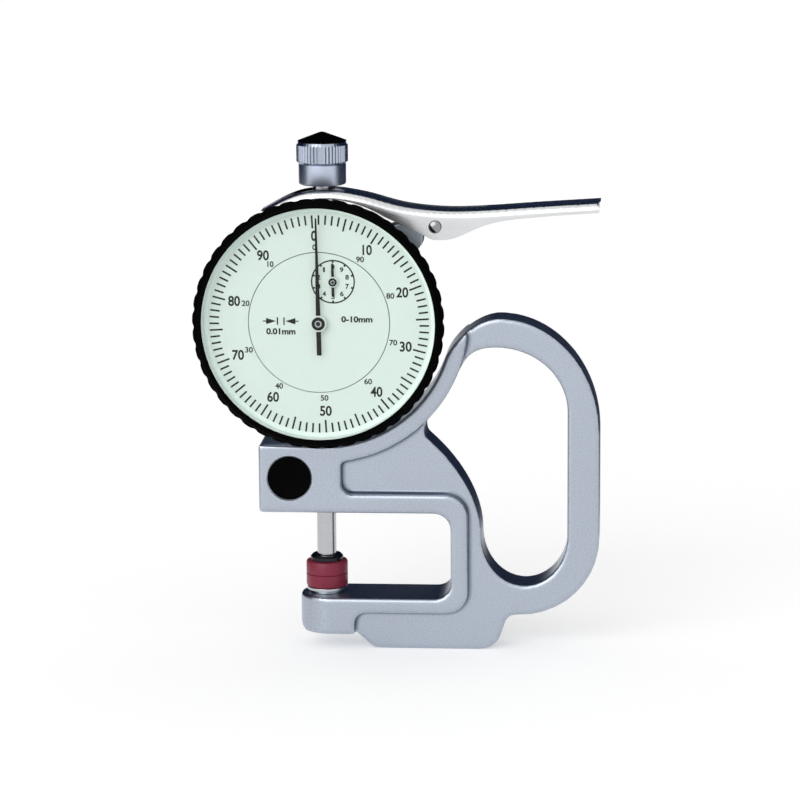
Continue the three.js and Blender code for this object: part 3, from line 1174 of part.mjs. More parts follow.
// The tooth angle of a wheel that meshes with another wheel, seen from the second wheel.
function meshedToothAngle(otherAngle, otherTeeth, teeth, towardsOther) {
  const otherPitch = (2 * Math.PI) / otherTeeth;
  const away = towardsOther + Math.PI;
  const offset = (otherAngle - away) - otherPitch * Math.round((otherAngle - away) / otherPitch);
  const pitch = (2 * Math.PI) / teeth;
  return towardsOther - (offset * otherTeeth) / teeth + pitch / 2;
}

const DRIVE_TO_CENTRE = Math.atan2(DRIVE_DROP, -DRIVE_REACH);
const COUNTER_TO_CENTRE = Math.atan2(-COUNTER_RISE, -COUNTER_REACH);
const DRIVE_TOOTH_ANGLE = DRIVE_TO_CENTRE;
const CENTRE_TOOTH_ANGLE = meshedToothAngle(
  DRIVE_TOOTH_ANGLE, GEAR_TEETH, PINION_TEETH, DRIVE_TO_CENTRE + Math.PI,
);
const COUNTER_TOOTH_ANGLE = meshedToothAngle(
  CENTRE_TOOTH_ANGLE, PINION_TEETH, GEAR_TEETH, COUNTER_TO_CENTRE,
);
const GEAR_BACK = GEAR_DEPTH - GEAR_THICKNESS;

function gearGeometry(toothAngle) {
  const shape = gearShape(GEAR_TEETH, GEAR_MODULE, toothAngle, ARBOR_HUB_RADIUS + PRESS_GAP);
  return closed(plate(shape, GEAR_BACK, GEAR_DEPTH));
}

function arborProfile(backDepth, frontDepth, hubBack, hubFront) {
  return [
    [0, backDepth], [ARBOR_RADIUS, backDepth], [ARBOR_RADIUS, hubBack], [ARBOR_HUB_RADIUS, hubBack],
    [ARBOR_HUB_RADIUS, hubFront], [ARBOR_RADIUS, hubFront], [ARBOR_RADIUS, frontDepth], [0, frontDepth],
  ];
}

const MID_BACK = MID_BRIDGE_DEPTH - PLATE_THICKNESS;
const PLATE_FRONT_BACK = FRONT_PLATE_DEPTH - PLATE_THICKNESS;

function centreArborGeometry() {
  const core = turnedAboutDepth([
    [0, MID_BACK], [ARBOR_RADIUS, MID_BACK],
    [ARBOR_RADIUS, MAIN_POINTER_DEPTH + ARBOR_STEP], [0, MAIN_POINTER_DEPTH + ARBOR_STEP],
  ], SMALL_SIDES);
  const shape = gearShape(PINION_TEETH, GEAR_MODULE, CENTRE_TOOTH_ANGLE, 0);
  return join(core, plate(shape, GEAR_BACK - SEAT_GAP, GEAR_DEPTH + SEAT_GAP));
}

function driveArborGeometry() {
  const back = -(REAR_PLATE_DEPTH + PLATE_THICKNESS);
  const core = turnedAboutDepth(
    arborProfile(back, FRONT_PLATE_DEPTH, SPINDLE_RADIUS, GEAR_DEPTH + ARBOR_STEP), SMALL_SIDES,
  );
  const toothAngle = Math.PI / RACK_PINION_TEETH;
  const reach = SPINDLE_RADIUS + ARBOR_STEP;
  const teeth = plate(gearShape(RACK_PINION_TEETH, RACK_MODULE, toothAngle, 0), -reach, reach);
  return join(core, teeth);
}

function counterArborGeometry() {
  return turnedAboutDepth(arborProfile(
    MID_BACK, COUNT_POINTER_DEPTH + ARBOR_STEP,
    MID_BRIDGE_DEPTH + ARBOR_STEP, HAIRSPRING_DEPTH + ARBOR_STEP,
  ), SMALL_SIDES);
}

function jewelGeometry(backDepth) {
  const inner = ARBOR_RADIUS + PRESS_GAP;
  const profile = ringProfile(inner, JEWEL_RADIUS, backDepth, backDepth + PLATE_THICKNESS);
  return turnedAboutDepth(profile, SMALL_SIDES);
}

// Movement plates
function roundedTriangle(places, margin) {
  const centre = places[0].clone().add(places[1]).add(places[2]).divideScalar(3);
  return roundedOutline(places.map((place) => {
    const others = places.filter((other) => other !== place);
    const first = others[0].clone().sub(place).normalize();
    const second = others[1].clone().sub(place).normalize();
    const half = Math.acos(first.dot(second)) / 2;
    const outward = first.add(second).normalize().multiplyScalar(-margin / Math.sin(half));
    const corner = place.clone().add(outward);
    const radius = Math.min(margin, centre.distanceTo(place));
    return [corner.x, corner.y, radius];
  }));
}

function platePiece(shape, holes, backDepth) {
  for (const [x, z, radius] of holes) {
    shape.holes.push(circlePath(x, z, radius, SMALL_SIDES));
  }
  return closed(plate(shape, backDepth, backDepth + PLATE_THICKNESS));
}

function tenonHoles(places) {
  return places.map((place) => [place.x, place.y, TENON_RADIUS + PRESS_GAP]);
}

const JEWEL_HOLE_RADIUS = JEWEL_RADIUS + PRESS_GAP;
const STUD_REACH = COUNTER_REACH + HAIRSPRING_OUTER_RADIUS + STUD_PIN_RADIUS + CLEAR_GAP;

function frontPlateGeometry() {
  const shape = new THREE.Shape(circlePath(0, 0, FRONT_PLATE_RADIUS, MEDIUM_SIDES).getPoints());
  const holes = [
    [0, 0, JEWEL_HOLE_RADIUS],
    [DRIVE_REACH, -DRIVE_DROP, JEWEL_HOLE_RADIUS],
    [COUNTER_REACH, COUNTER_RISE, JEWEL_HOLE_RADIUS],
    [SPRING_REACH, -SPRING_POST_DROP, SPRING_POST_RADIUS + PRESS_GAP],
    [STUD_REACH, COUNTER_RISE, STUD_PIN_RADIUS + PRESS_GAP],
    ...tenonHoles(MID_PILLARS),
    ...tenonHoles(REAR_PILLARS),
  ];
  return platePiece(shape, holes, PLATE_FRONT_BACK);
}

function midBridgeGeometry() {
  const shape = roundedTriangle(MID_PILLARS, MID_PLATE_MARGIN);
  const holes = [
    [0, 0, JEWEL_HOLE_RADIUS], [COUNTER_REACH, COUNTER_RISE, JEWEL_HOLE_RADIUS],
    ...tenonHoles(MID_PILLARS),
  ];
  return platePiece(shape, holes, MID_BACK);
}

function rearPlateGeometry() {
  const shape = roundedTriangle(REAR_PILLARS, REAR_PLATE_MARGIN);
  const holes = [[DRIVE_REACH, -DRIVE_DROP, JEWEL_HOLE_RADIUS], ...tenonHoles(REAR_PILLARS)];
  return platePiece(shape, holes, -REAR_PLATE_DEPTH - PLATE_THICKNESS);
}

function pillarGeometry(backDepth, frontDepth) {
  const shoulderBack = backDepth + PLATE_THICKNESS + SEAT_GAP;
  const shoulderFront = PLATE_FRONT_BACK - SEAT_GAP;
  return turnedAboutDepth([
    [0, backDepth], [TENON_RADIUS, backDepth], [TENON_RADIUS, shoulderBack], [PILLAR_RADIUS, shoulderBack],
    [PILLAR_RADIUS, shoulderFront], [TENON_RADIUS, shoulderFront],
    [TENON_RADIUS, frontDepth], [0, frontDepth],
  ], SMALL_SIDES);
}

// Hairspring, return spring and the guide
function hairspringGeometry() {
  const steps = HAIRSPRING_TURNS * COIL_STEPS;
  const frames = [];
  for (let i = 0; i <= steps; i += 1) {
    const share = i / steps;
    const angle = HAIRSPRING_TURNS * 2 * Math.PI * (share - 1);
    const radius = THREE.MathUtils.lerp(HAIRSPRING_INNER_RADIUS, HAIRSPRING_OUTER_RADIUS, share);
    const across = new THREE.Vector3(Math.cos(angle), 0, Math.sin(angle));
    frames.push({ point: across.clone().multiplyScalar(radius), across, up: new THREE.Vector3(0, 1, 0) });
  }
  const s = HAIRSPRING_STRIP / 2;
  const t = HAIRSPRING_WIDTH / 2;
  const strip = sweptSolid(frames, [[-s, -t], [s, -t], [s, t], [-s, t]]);
  return moved(strip, 0, -(HAIRSPRING_DEPTH - HAIRSPRING_WIDTH / 2), 0);
}

function hairspringColletGeometry() {
  const inner = ARBOR_HUB_RADIUS + PRESS_GAP;
  return turnedAboutDepth(ringProfile(
    inner, COLLET_RADIUS, HAIRSPRING_DEPTH - HAIRSPRING_WIDTH, HAIRSPRING_DEPTH,
  ), SMALL_SIDES);
}

function hairspringStudGeometry() {
  return turnedAboutDepth(
    rodProfile(STUD_PIN_RADIUS, HAIRSPRING_DEPTH - HAIRSPRING_WIDTH, FRONT_PLATE_DEPTH), SMALL_SIDES,
  );
}

const SPRING_LOW = DIAL_HEIGHT - SPRING_POST_DROP + SPRING_POST_RADIUS + SPRING_WIRE_RADIUS + SEAT_GAP;
const SPRING_HIGH = GUIDE_PIN_HEIGHT - GUIDE_PIN_RADIUS - SPRING_WIRE_RADIUS - SEAT_GAP;

function returnSpringGeometry() {
  const steps = SPRING_TURNS * SPRING_STEPS;
  const rise = SPRING_HIGH - SPRING_LOW;
  const slope = Math.atan2(rise, 2 * Math.PI * SPRING_RADIUS * SPRING_TURNS);
  const frames = [];
  for (let i = 0; i <= steps; i += 1) {
    const share = i / steps;
    const angle = share * SPRING_TURNS * 2 * Math.PI;
    const across = new THREE.Vector3(Math.cos(angle), Math.sin(angle), 0);
    const along = new THREE.Vector3(-Math.sin(angle), Math.cos(angle), Math.tan(slope)).normalize();
    const point = across.clone().multiplyScalar(SPRING_RADIUS);
    point.z = SPRING_LOW + rise * share;
    frames.push({ point, across, up: along.cross(across) });
  }
  const section = [];
  for (let k = 0; k < WIRE_SIDES; k += 1) {
    const angle = (k * 2 * Math.PI) / WIRE_SIDES;
    section.push([SPRING_WIRE_RADIUS * Math.cos(angle), SPRING_WIRE_RADIUS * Math.sin(angle)]);
  }
  return moved(sweptSolid(frames, section), SPRING_REACH, SPRING_OFFSET, 0);
}

function springPostGeometry() {
  const back = -(SPRING_OFFSET + SPRING_RADIUS + SPRING_WIRE_RADIUS);
  return turnedAboutDepth(rodProfile(SPRING_POST_RADIUS, back, FRONT_PLATE_DEPTH), SMALL_SIDES);
}

function guideBlockGeometry() {
  const low = GUIDE_PIN_HEIGHT - GUIDE_BLOCK_DEPTH;
  const high = DIAL_HEIGHT + GUIDE_TOP_RISE;
  const right = GUIDE_BLOCK_REACH + GUIDE_BLOCK_WIDTH;
  const body = block(GUIDE_BLOCK_REACH, right, -GUIDE_BLOCK_DEPTH, REAR_PLATE_DEPTH - SEAT_GAP, low, high);
  const half = GUIDE_PIN_RADIUS + RUN_GAP;
  const slot = block(
    GUIDE_BLOCK_REACH - CUT_OVERRUN, GUIDE_PIN_REACH + CLEAR_GAP, -half, half,
    low - CUT_OVERRUN, high + CUT_OVERRUN,
  );
  return cut(body, slot);
}

// Pointers
function pointerGeometry(length, tail, baseWidth, tipWidth, hubRadius, frontDepth) {
  const back = frontDepth - POINTER_THICKNESS;
  const needle = plate(new THREE.Shape([
    new THREE.Vector2(-baseWidth / 2, -tail), new THREE.Vector2(baseWidth / 2, -tail),
    new THREE.Vector2(baseWidth / 2, 0), new THREE.Vector2(tipWidth / 2, length),
    new THREE.Vector2(-tipWidth / 2, length), new THREE.Vector2(-baseWidth / 2, 0),
  ]), back, frontDepth);
  const hubProfile = rodProfile(hubRadius, back - ARBOR_STEP, frontDepth + ARBOR_STEP);
  const hub = turnedAboutDepth(hubProfile, SMALL_SIDES);
  const hole = depthRod(0, 0, ARBOR_RADIUS + PRESS_GAP, back - CUT_OVERRUN, frontDepth + CUT_OVERRUN);
  return cut(join(needle, hub), hole);
}

// Lifting lever: a formed channel with rounded top edges, slotted round the spindle
const LEVER_LENGTH = LEVER_LEFT_REACH + LEVER_RIGHT_REACH;
const LEVER_ARC_RADIUS = CASE_RADIUS + LEVER_CASE_GAP;
const LEVER_END_RISE = Math.sqrt(LEVER_ARC_RADIUS ** 2 - (LEVER_LEFT_REACH - LEVER_SHEET) ** 2);
const LEVER_END_HEIGHT = DIAL_HEIGHT + LEVER_END_RISE + LEVER_LIP;

function leverTopCurve(drop) {
  const rest = LEVER_TOP_SHARES.map(([along, up]) => new THREE.Vector2(
    along * LEVER_LENGTH - LEVER_LEFT_REACH, LEVER_BASE_HEIGHT + up * LEVER_CROWN - drop,
  ));
  const end = new THREE.Vector2(-LEVER_LEFT_REACH, LEVER_END_HEIGHT - drop);
  return new THREE.SplineCurve([end, ...rest]).getPoints(3 * ARC_STEPS);
}

function leverOutline() {
  const top = leverTopCurve(0);
  const belly = LEVER_BELLY_SHARES.map(([along, up]) => new THREE.Vector2(
    along * LEVER_LENGTH - LEVER_LEFT_REACH, LEVER_BASE_HEIGHT + up * LEVER_CROWN,
  )).reverse();
  const radius = LEVER_ARC_RADIUS;
  const startAngle = Math.acos((LEVER_LEFT_REACH + PIN_HEAD_RADIUS) / radius);
  const endAngle = Math.PI - Math.acos((LEVER_LEFT_REACH - LEVER_SHEET) / radius);
  const under = [];
  for (let i = 0; i <= 2 * ARC_STEPS; i += 1) {
    const angle = THREE.MathUtils.lerp(startAngle, endAngle, i / (2 * ARC_STEPS));
    under.push(new THREE.Vector2(radius * Math.cos(angle), DIAL_HEIGHT + radius * Math.sin(angle)));
  }
  return new THREE.Shape([...top, ...belly, ...under]);
}

function leverGeometry() {
  const half = LEVER_WIDTH / 2;
  const body = plate(leverOutline(), -half, half);
  const roof = leverTopCurve(LEVER_SHEET);
  const first = roof[0];
  const last = roof[roof.length - 1];
  const floor = LEVER_BASE_HEIGHT - LEVER_CROWN;
  const right = last.x + CUT_OVERRUN;
  const left = first.x - CUT_OVERRUN;
  const inner = new THREE.Shape([
    ...roof, new THREE.Vector2(right, last.y), new THREE.Vector2(right, floor),
    new THREE.Vector2(left, floor), new THREE.Vector2(left, first.y),
  ]);
  const channel = plate(inner, -half + LEVER_SHEET, half - LEVER_SHEET);
  const slot = block(
    -LEVER_SLOT_LEFT, LEVER_SLOT_RIGHT, -LEVER_SLOT_WIDTH / 2, LEVER_SLOT_WIDTH / 2,
    LEVER_BASE_HEIGHT, LEVER_BASE_HEIGHT + 2 * LEVER_CROWN,
  );
  const pinHole = depthRod(
    PIVOT_REACH, PIVOT_HEIGHT, PIN_RADIUS + RUN_GAP, -half - CUT_OVERRUN, half + CUT_OVERRUN,
  );
  return cut(body, channel, slot, pinHole);
}

function leverPinGeometry() {
  const shoulder = LEVER_WIDTH / 2 + SEAT_GAP;
  const face = shoulder + PIN_HEAD_HEIGHT;
  const edge = shoulder + PIN_HEAD_HEIGHT / 3;
  const flat = PIN_HEAD_RADIUS * PIN_HEAD_FLAT_SHARE;
  return turnedAboutDepth([
    [0, -face], [flat, -face], [PIN_HEAD_RADIUS, -edge], [PIN_HEAD_RADIUS, -shoulder],
    [PIN_RADIUS, -shoulder], [PIN_RADIUS, shoulder],
    [PIN_HEAD_RADIUS, shoulder], [PIN_HEAD_RADIUS, edge], [flat, face], [0, face],
  ], SMALL_SIDES);
}

function leverBracketGeometry() {
  const saddle = CASE_RADIUS + SEAT_GAP;
  const shape = new THREE.Shape();
  shape.absarc(0, DIAL_HEIGHT, saddle, BRACKET_END_ANGLE, BRACKET_START_ANGLE, true);
  for (const [x, z] of BRACKET_HEEL_SHARES) {
    shape.lineTo(PIVOT_REACH + x * BRACKET_BOSS_RADIUS, PIVOT_HEIGHT + z * BRACKET_BOSS_RADIUS);
  }
  shape.absarc(PIVOT_REACH, PIVOT_HEIGHT, BRACKET_BOSS_RADIUS, -Math.PI * 3 / 4, Math.PI * 3 / 5, false);
  shape.closePath();
  const half = BRACKET_WIDTH / 2;
  const tools = [depthRod(
    PIVOT_REACH, PIVOT_HEIGHT, PIN_RADIUS + PRESS_GAP, -half - CUT_OVERRUN, half + CUT_OVERRUN,
  )];
  for (const side of [-1, 1]) {
    tools.push(rodBetween(
      alongScrew(side, CASE_RADIUS - CUT_OVERRUN), alongScrew(side, CASE_RADIUS + BRACKET_SCREW_LENGTH),
      BRACKET_SCREW_RADIUS + PRESS_GAP, SMALL_SIDES,
    ));
  }
  return cut(plate(shape, -half, half), ...tools);
}

function bracketScrewGeometry(side) {
  const headTop = CASE_INNER_RADIUS - CLEAR_GAP;
  const head = rodBetween(
    alongScrew(side, headTop - BRACKET_SCREW_HEAD_HEIGHT), alongScrew(side, headTop),
    BRACKET_SCREW_HEAD_RADIUS, SMALL_SIDES,
  );
  const shank = rodBetween(
    alongScrew(side, headTop - BRACKET_SCREW_HEAD_HEIGHT / 2),
    alongScrew(side, CASE_RADIUS + BRACKET_SCREW_LENGTH - CLEAR_GAP), BRACKET_SCREW_RADIUS, SMALL_SIDES,
  );
  return join(head, shank);
}

// Scene graph
const gauge = new THREE.Group();
const onAxis = new THREE.Group();
onAxis.position.x = -(FOOT_LEFT_REACH + FOOT_RIGHT_REACH - FOOT_CORNER_RADIUS) / 2;
gauge.add(onAxis);

function addPiece(parent, name, geometry, finish, x = 0, y = 0, z = 0) {
  const mesh = new THREE.Mesh(geometry, new THREE.MeshStandardMaterial(FINISHES[finish]));
  mesh.name = name;
  mesh.position.set(x, y, z);
  parent.add(mesh);
  return mesh;
}

function addFrame() {
  addPiece(onAxis, 'frame', frameGeometry(), 'castAluminium');
  addPiece(onAxis, 'anvil_holder', anvilHolderGeometry(), 'steel');
  addPiece(onAxis, 'anvil_ceramic', ceramicGeometry(CONTACT_HEIGHT, -1), 'redCeramic');
  addPiece(onAxis, 'clamp_cotter_front', cotterGeometry(1), 'blackPlastic');
  addPiece(onAxis, 'clamp_cotter_rear', cotterGeometry(-1), 'blackPlastic');
  addPiece(onAxis, 'clamp_screw', clampScrewGeometry(), 'steel');
}

function addCase() {
  addPiece(onAxis, 'case', caseGeometry(), 'castAluminium');
  addPiece(onAxis, 'stem', stemGeometry(), 'steel');
  addPiece(onAxis, 'stem_bush', stemBushGeometry(), 'brass');
  addPiece(onAxis, 'upper_bush', upperBushGeometry(), 'brass');
  addPiece(onAxis, 'back_cover', backCoverGeometry(), 'castAluminium');
  coverScrewPlaces().forEach((place, i) => {
    const name = `back_cover_screw_${i + 1}`;
    addPiece(onAxis, name, coverScrewGeometry(), 'steel', place.x, 0, DIAL_HEIGHT + place.y);
  });
  addPiece(onAxis, 'lever_bracket', leverBracketGeometry(), 'castAluminium');
  addPiece(onAxis, 'lever_bracket_screw_front', bracketScrewGeometry(-1), 'steel');
  addPiece(onAxis, 'lever_bracket_screw_rear', bracketScrewGeometry(1), 'steel');
  addPiece(onAxis, 'lever_pin', leverPinGeometry(), 'steel', PIVOT_REACH, 0, PIVOT_HEIGHT);
}

function addDial() {
  addPiece(onAxis, 'inner_dial', innerDialGeometry(), 'dialPaint');
  addPiece(onAxis, 'dial_ring', dialRingGeometry(), 'dialPaint');
  addPiece(onAxis, 'crystal_gasket', gasketGeometry(), 'rubber');
  addPiece(onAxis, 'crystal', crystalGeometry(), 'clear');
  addPiece(onAxis, 'bezel', bezelGeometry(), 'blackPlastic');
}

function addMovement() {
  const movement = new THREE.Group();
  movement.position.z = DIAL_HEIGHT;
  onAxis.add(movement);
  addPiece(movement, 'front_plate', frontPlateGeometry(), 'brass');
  addPiece(movement, 'mid_bridge', midBridgeGeometry(), 'brass');
  addPiece(movement, 'rear_plate', rearPlateGeometry(), 'brass');
  MID_PILLARS.forEach((place, i) => {
    const pillar = pillarGeometry(MID_BACK, FRONT_PLATE_DEPTH);
    addPiece(movement, `mid_pillar_${i + 1}`, pillar, 'brass', place.x, 0, place.y);
  });
  REAR_PILLARS.forEach((place, i) => {
    const pillar = pillarGeometry(-REAR_PLATE_DEPTH - PLATE_THICKNESS, CASE_FRONT_DEPTH - SEAT_GAP);
    addPiece(movement, `rear_pillar_${i + 1}`, pillar, 'brass', place.x, 0, place.y);
  });
  const rearBack = -REAR_PLATE_DEPTH - PLATE_THICKNESS;
  addArbor(movement, 'centre', 0, 0, centreArborGeometry(), MID_BACK);
  addArbor(movement, 'drive', DRIVE_REACH, -DRIVE_DROP, driveArborGeometry(), rearBack);
  addArbor(movement, 'counter', COUNTER_REACH, COUNTER_RISE, counterArborGeometry(), MID_BACK);
  addPiece(movement, 'drive_gear', gearGeometry(DRIVE_TOOTH_ANGLE), 'brass', DRIVE_REACH, 0, -DRIVE_DROP);
  const counterGear = gearGeometry(COUNTER_TOOTH_ANGLE);
  addPiece(movement, 'hairspring_gear', counterGear, 'brass', COUNTER_REACH, 0, COUNTER_RISE);
  const collet = hairspringColletGeometry();
  addPiece(movement, 'hairspring_collet', collet, 'brass', COUNTER_REACH, 0, COUNTER_RISE);
  addPiece(movement, 'hairspring', hairspringGeometry(), 'steel', COUNTER_REACH, 0, COUNTER_RISE);
  addPiece(movement, 'hairspring_stud', hairspringStudGeometry(), 'brass', STUD_REACH, 0, COUNTER_RISE);
  addPiece(movement, 'spring_post', springPostGeometry(), 'steel', SPRING_REACH, 0, -SPRING_POST_DROP);
  addPiece(movement, 'main_pointer', pointerGeometry(
    MAIN_POINTER_LENGTH, MAIN_POINTER_TAIL, MAIN_POINTER_WIDTH, MAIN_POINTER_TIP_WIDTH,
    POINTER_HUB_RADIUS, MAIN_POINTER_DEPTH,
  ), 'blackPlastic');
  addPiece(movement, 'revolution_pointer', pointerGeometry(
    COUNT_POINTER_LENGTH, COUNT_POINTER_TAIL, COUNT_POINTER_WIDTH, COUNT_POINTER_WIDTH / 2,
    COUNT_HUB_RADIUS, COUNT_POINTER_DEPTH,
  ), 'blackPlastic', COUNTER_REACH, 0, COUNTER_RISE);
}

function addArbor(parent, name, x, z, arbor, rearBearing) {
  addPiece(parent, `${name}_arbor`, arbor, 'steel', x, 0, z);
  addPiece(parent, `${name}_jewel_front`, jewelGeometry(PLATE_FRONT_BACK), 'ruby', x, 0, z);
  addPiece(parent, `${name}_jewel_rear`, jewelGeometry(rearBearing), 'ruby', x, 0, z);
}

function addSpindle() {
  addPiece(onAxis, 'spindle', spindleGeometry(), 'steel');
  addPiece(onAxis, 'guide_pin', guidePinGeometry(), 'steel');
  addPiece(onAxis, 'guide_block', guideBlockGeometry(), 'brass');
  addPiece(onAxis, 'return_spring', returnSpringGeometry(), 'steel');
  addPiece(onAxis, 'contact_holder', contactHolderGeometry(), 'steel');
  addPiece(onAxis, 'contact_ceramic', ceramicGeometry(CONTACT_HEIGHT + CONTACT_GAP, 1), 'redCeramic');
  addPiece(onAxis, 'cap_sleeve', capSleeveGeometry(), 'steel');
  addPiece(onAxis, 'cap_knob', capKnobGeometry(), 'steel');
  addPiece(onAxis, 'cap_insert', capInsertGeometry(), 'blackPlastic');
}

addFrame();
addCase();
addDial();
addMovement();
addSpindle();
addPiece(onAxis, 'lever', leverGeometry(), 'brightSheet');

export default gauge;
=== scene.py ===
"""Looks for the dial thickness gauge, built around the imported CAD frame.

Sizes are in millimetres in the classes below and become metres when a mesh is made. The X, Y and
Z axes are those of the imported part: Z up along the spindle, the dial facing -Y.
"""

import logging
import math
from contextlib import contextmanager
from dataclasses import dataclass, field
from enum import Enum
from typing import Iterator, Sequence

import bpy
from mathutils import Matrix, Vector


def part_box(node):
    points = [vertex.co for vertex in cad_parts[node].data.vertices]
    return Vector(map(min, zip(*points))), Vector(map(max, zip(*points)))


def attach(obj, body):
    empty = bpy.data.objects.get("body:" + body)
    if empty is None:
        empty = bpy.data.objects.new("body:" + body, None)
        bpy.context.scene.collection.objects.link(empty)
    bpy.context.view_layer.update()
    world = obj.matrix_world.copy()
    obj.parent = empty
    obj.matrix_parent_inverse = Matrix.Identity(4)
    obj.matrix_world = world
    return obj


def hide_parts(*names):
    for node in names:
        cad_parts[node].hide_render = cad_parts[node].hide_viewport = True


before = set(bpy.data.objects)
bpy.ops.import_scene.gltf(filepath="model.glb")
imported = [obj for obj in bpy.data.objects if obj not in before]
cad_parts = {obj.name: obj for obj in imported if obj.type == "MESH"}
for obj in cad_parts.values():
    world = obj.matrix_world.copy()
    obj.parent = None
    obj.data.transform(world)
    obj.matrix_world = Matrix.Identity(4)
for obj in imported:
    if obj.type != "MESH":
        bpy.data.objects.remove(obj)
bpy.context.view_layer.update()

LOG = logging.getLogger("gauge")

MM = 0.001
FULL_TURN = 2 * math.pi
QUARTER_TURN = math.pi / 2
SPINDLE_X = -23.05
DIAL_Z = 78.3
WELD_MM = 0.002
FINE_STEPS = 96
LARGE_STEPS = 160
SMOOTH_ANGLE = math.radians(32)
FLAT_ANGLE = math.radians(1)
MIDWAY_SHARE = 0.3
NOISE_RANGE = (0.3, 0.7)
# Pointiness range over which inner corners are darkened as painted shade.
CREASE_SHADE_RANGE = (0.496, 0.465)

Point2 = tuple[float, float]
Point3 = tuple[float, float, float]


class Axis(Enum):
    """The direction that a turned piece is spun about."""

    DEPTH = (0.0, 1.0, 0.0)
    HEIGHT = (0.0, 0.0, 1.0)


class Body(Enum):
    """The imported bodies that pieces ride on."""

    GAUGE = "gauge_body"
    BEZEL = "bezel_ring"
    SPINDLE = "measuring_spindle"
    LEVER = "lifting_lever"
    CENTRE = "centre_wheel"
    COUNTER = "counter_wheel"


class Slot(Enum):
    """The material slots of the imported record."""

    ALUMINIUM = "cast_aluminium"
    STEEL = "steel"
    CERAMIC = "red_ceramic"
    BLACK = "black_plastic"
    BRASS = "brass"
    DIAL = "dial_paint"
    CRYSTAL = "clear_crystal"
    RUBBER = "rubber"
    SHEET = "bright_sheet"


# Modelling by hand: each helper below does one job at the bench.


def pick_only(piece: bpy.types.Object) -> None:
    """Deselects everything and makes one piece the active one.

    Args:
        piece: The piece to work on.
    """
    bpy.ops.object.select_all(action="DESELECT")
    piece.select_set(True)
    bpy.context.view_layer.objects.active = piece


@contextmanager
def editing(piece: bpy.types.Object) -> Iterator[None]:
    """Opens a piece in edit mode with all of it selected, and closes it again.

    Args:
        piece: The piece to edit.
    """
    pick_only(piece)
    bpy.ops.object.mode_set(mode="EDIT")
    bpy.ops.mesh.select_all(action="SELECT")
    try:
        yield
    finally:
        bpy.ops.object.mode_set(mode="OBJECT")


def apply_place(piece: bpy.types.Object) -> None:
    """Moves a piece's place, turn and scale into its mesh.

    Args:
        piece: The piece to settle at the origin.
    """
    pick_only(piece)
    bpy.ops.object.transform_apply(location=True, rotation=True, scale=True)


def tidy_mesh(piece: bpy.types.Object) -> None:
    """Merges doubled points and turns all faces outwards.

    Args:
        piece: The piece to clean.
    """
    with editing(piece):
        bpy.ops.mesh.remove_doubles(threshold=WELD_MM * MM)
        bpy.ops.mesh.normals_make_consistent(inside=False)


def shade(piece: bpy.types.Object, angle: float = SMOOTH_ANGLE) -> None:
    """Shades a piece smooth, apart from edges sharper than an angle.

    Args:
        piece: The piece to shade.
        angle: The sharpest smooth edge, in radians.
    """
    pick_only(piece)
    bpy.ops.object.shade_smooth_by_angle(angle=angle)


def draw_wire(name: str, points: Sequence[Point3]) -> bpy.types.Object:
    """Draws a chain of points by extruding one point along it.

    Args:
        name: The name of the new piece.
        points: The points of the chain, in millimetres.

    Returns:
        A piece that holds the chain of edges.
    """
    start = Vector(points[0]) * MM
    bpy.ops.object.select_all(action="DESELECT")
    bpy.ops.mesh.primitive_plane_add(size=MM, location=start)
    piece = bpy.context.object
    piece.name = name
    apply_place(piece)
    with editing(piece):
        bpy.ops.mesh.merge(type="CENTER")
        for here, there in zip(points, points[1:]):
            step = (Vector(there) - Vector(here)) * MM
            bpy.ops.mesh.extrude_region_move(TRANSFORM_OT_translate={"value": step})
    return piece


def turn_piece(
    name: str,
    profile: Sequence[Point2],
    axis: Axis,
    centre: Point3 = (SPINDLE_X, 0.0, 0.0),
    steps: int = FINE_STEPS,
) -> bpy.types.Object:
    """Spins a closed profile round an axis, as on a lathe.

    Args:
        name: The name of the new piece.
        profile: Pairs of radius and distance along the axis. Along Y the distance grows forward.
        axis: The axis of the turning.
        centre: A point on the axis.
        steps: The number of flat sides.

    Returns:
        The turned solid.
    """
    cx, cy, cz = centre
    if axis is Axis.DEPTH:
        points = [(cx + r, cy - d, cz) for r, d in profile]
    else:
        points = [(cx + r, cy, cz + h) for r, h in profile]
    piece = draw_wire(name, points)
    with editing(piece):
        bpy.ops.mesh.spin(
            steps=steps, angle=FULL_TURN, center=Vector(centre) * MM, axis=axis.value
        )
    tidy_mesh(piece)
    shade(piece)
    return piece


def cut_plate(
    name: str, outline: Sequence[Point2], back: float, front: float
) -> bpy.types.Object:
    """Cuts a plate to an outline in X and Z.

    Args:
        name: The name of the new piece.
        outline: The closed outline.
        back: The depth of the back face, growing forward.
        front: The depth of the front face.

    Returns:
        The plate, with sharp edges.
    """
    piece = draw_wire(name, [(x, -front, z) for x, z in outline])
    with editing(piece):
        bpy.ops.mesh.edge_face_add()
        bpy.ops.mesh.extrude_region_move(
            TRANSFORM_OT_translate={"value": (0, (front - back) * MM, 0)}
        )
    tidy_mesh(piece)
    return piece


def combine(
    piece: bpy.types.Object, tool: bpy.types.Object, operation: str
) -> bpy.types.Object:
    """Applies a boolean with a tool solid, and clears the tool away.

    Args:
        piece: The solid to change.
        tool: The solid that cuts, joins or limits it.
        operation: DIFFERENCE, UNION or INTERSECT.

    Returns:
        The changed piece.
    """
    pick_only(piece)
    modifier = piece.modifiers.new("shape", "BOOLEAN")
    modifier.operation = operation
    modifier.solver = "MANIFOLD"
    modifier.object = tool
    bpy.ops.object.modifier_apply(modifier=modifier.name)
    bpy.data.objects.remove(tool)
    return piece


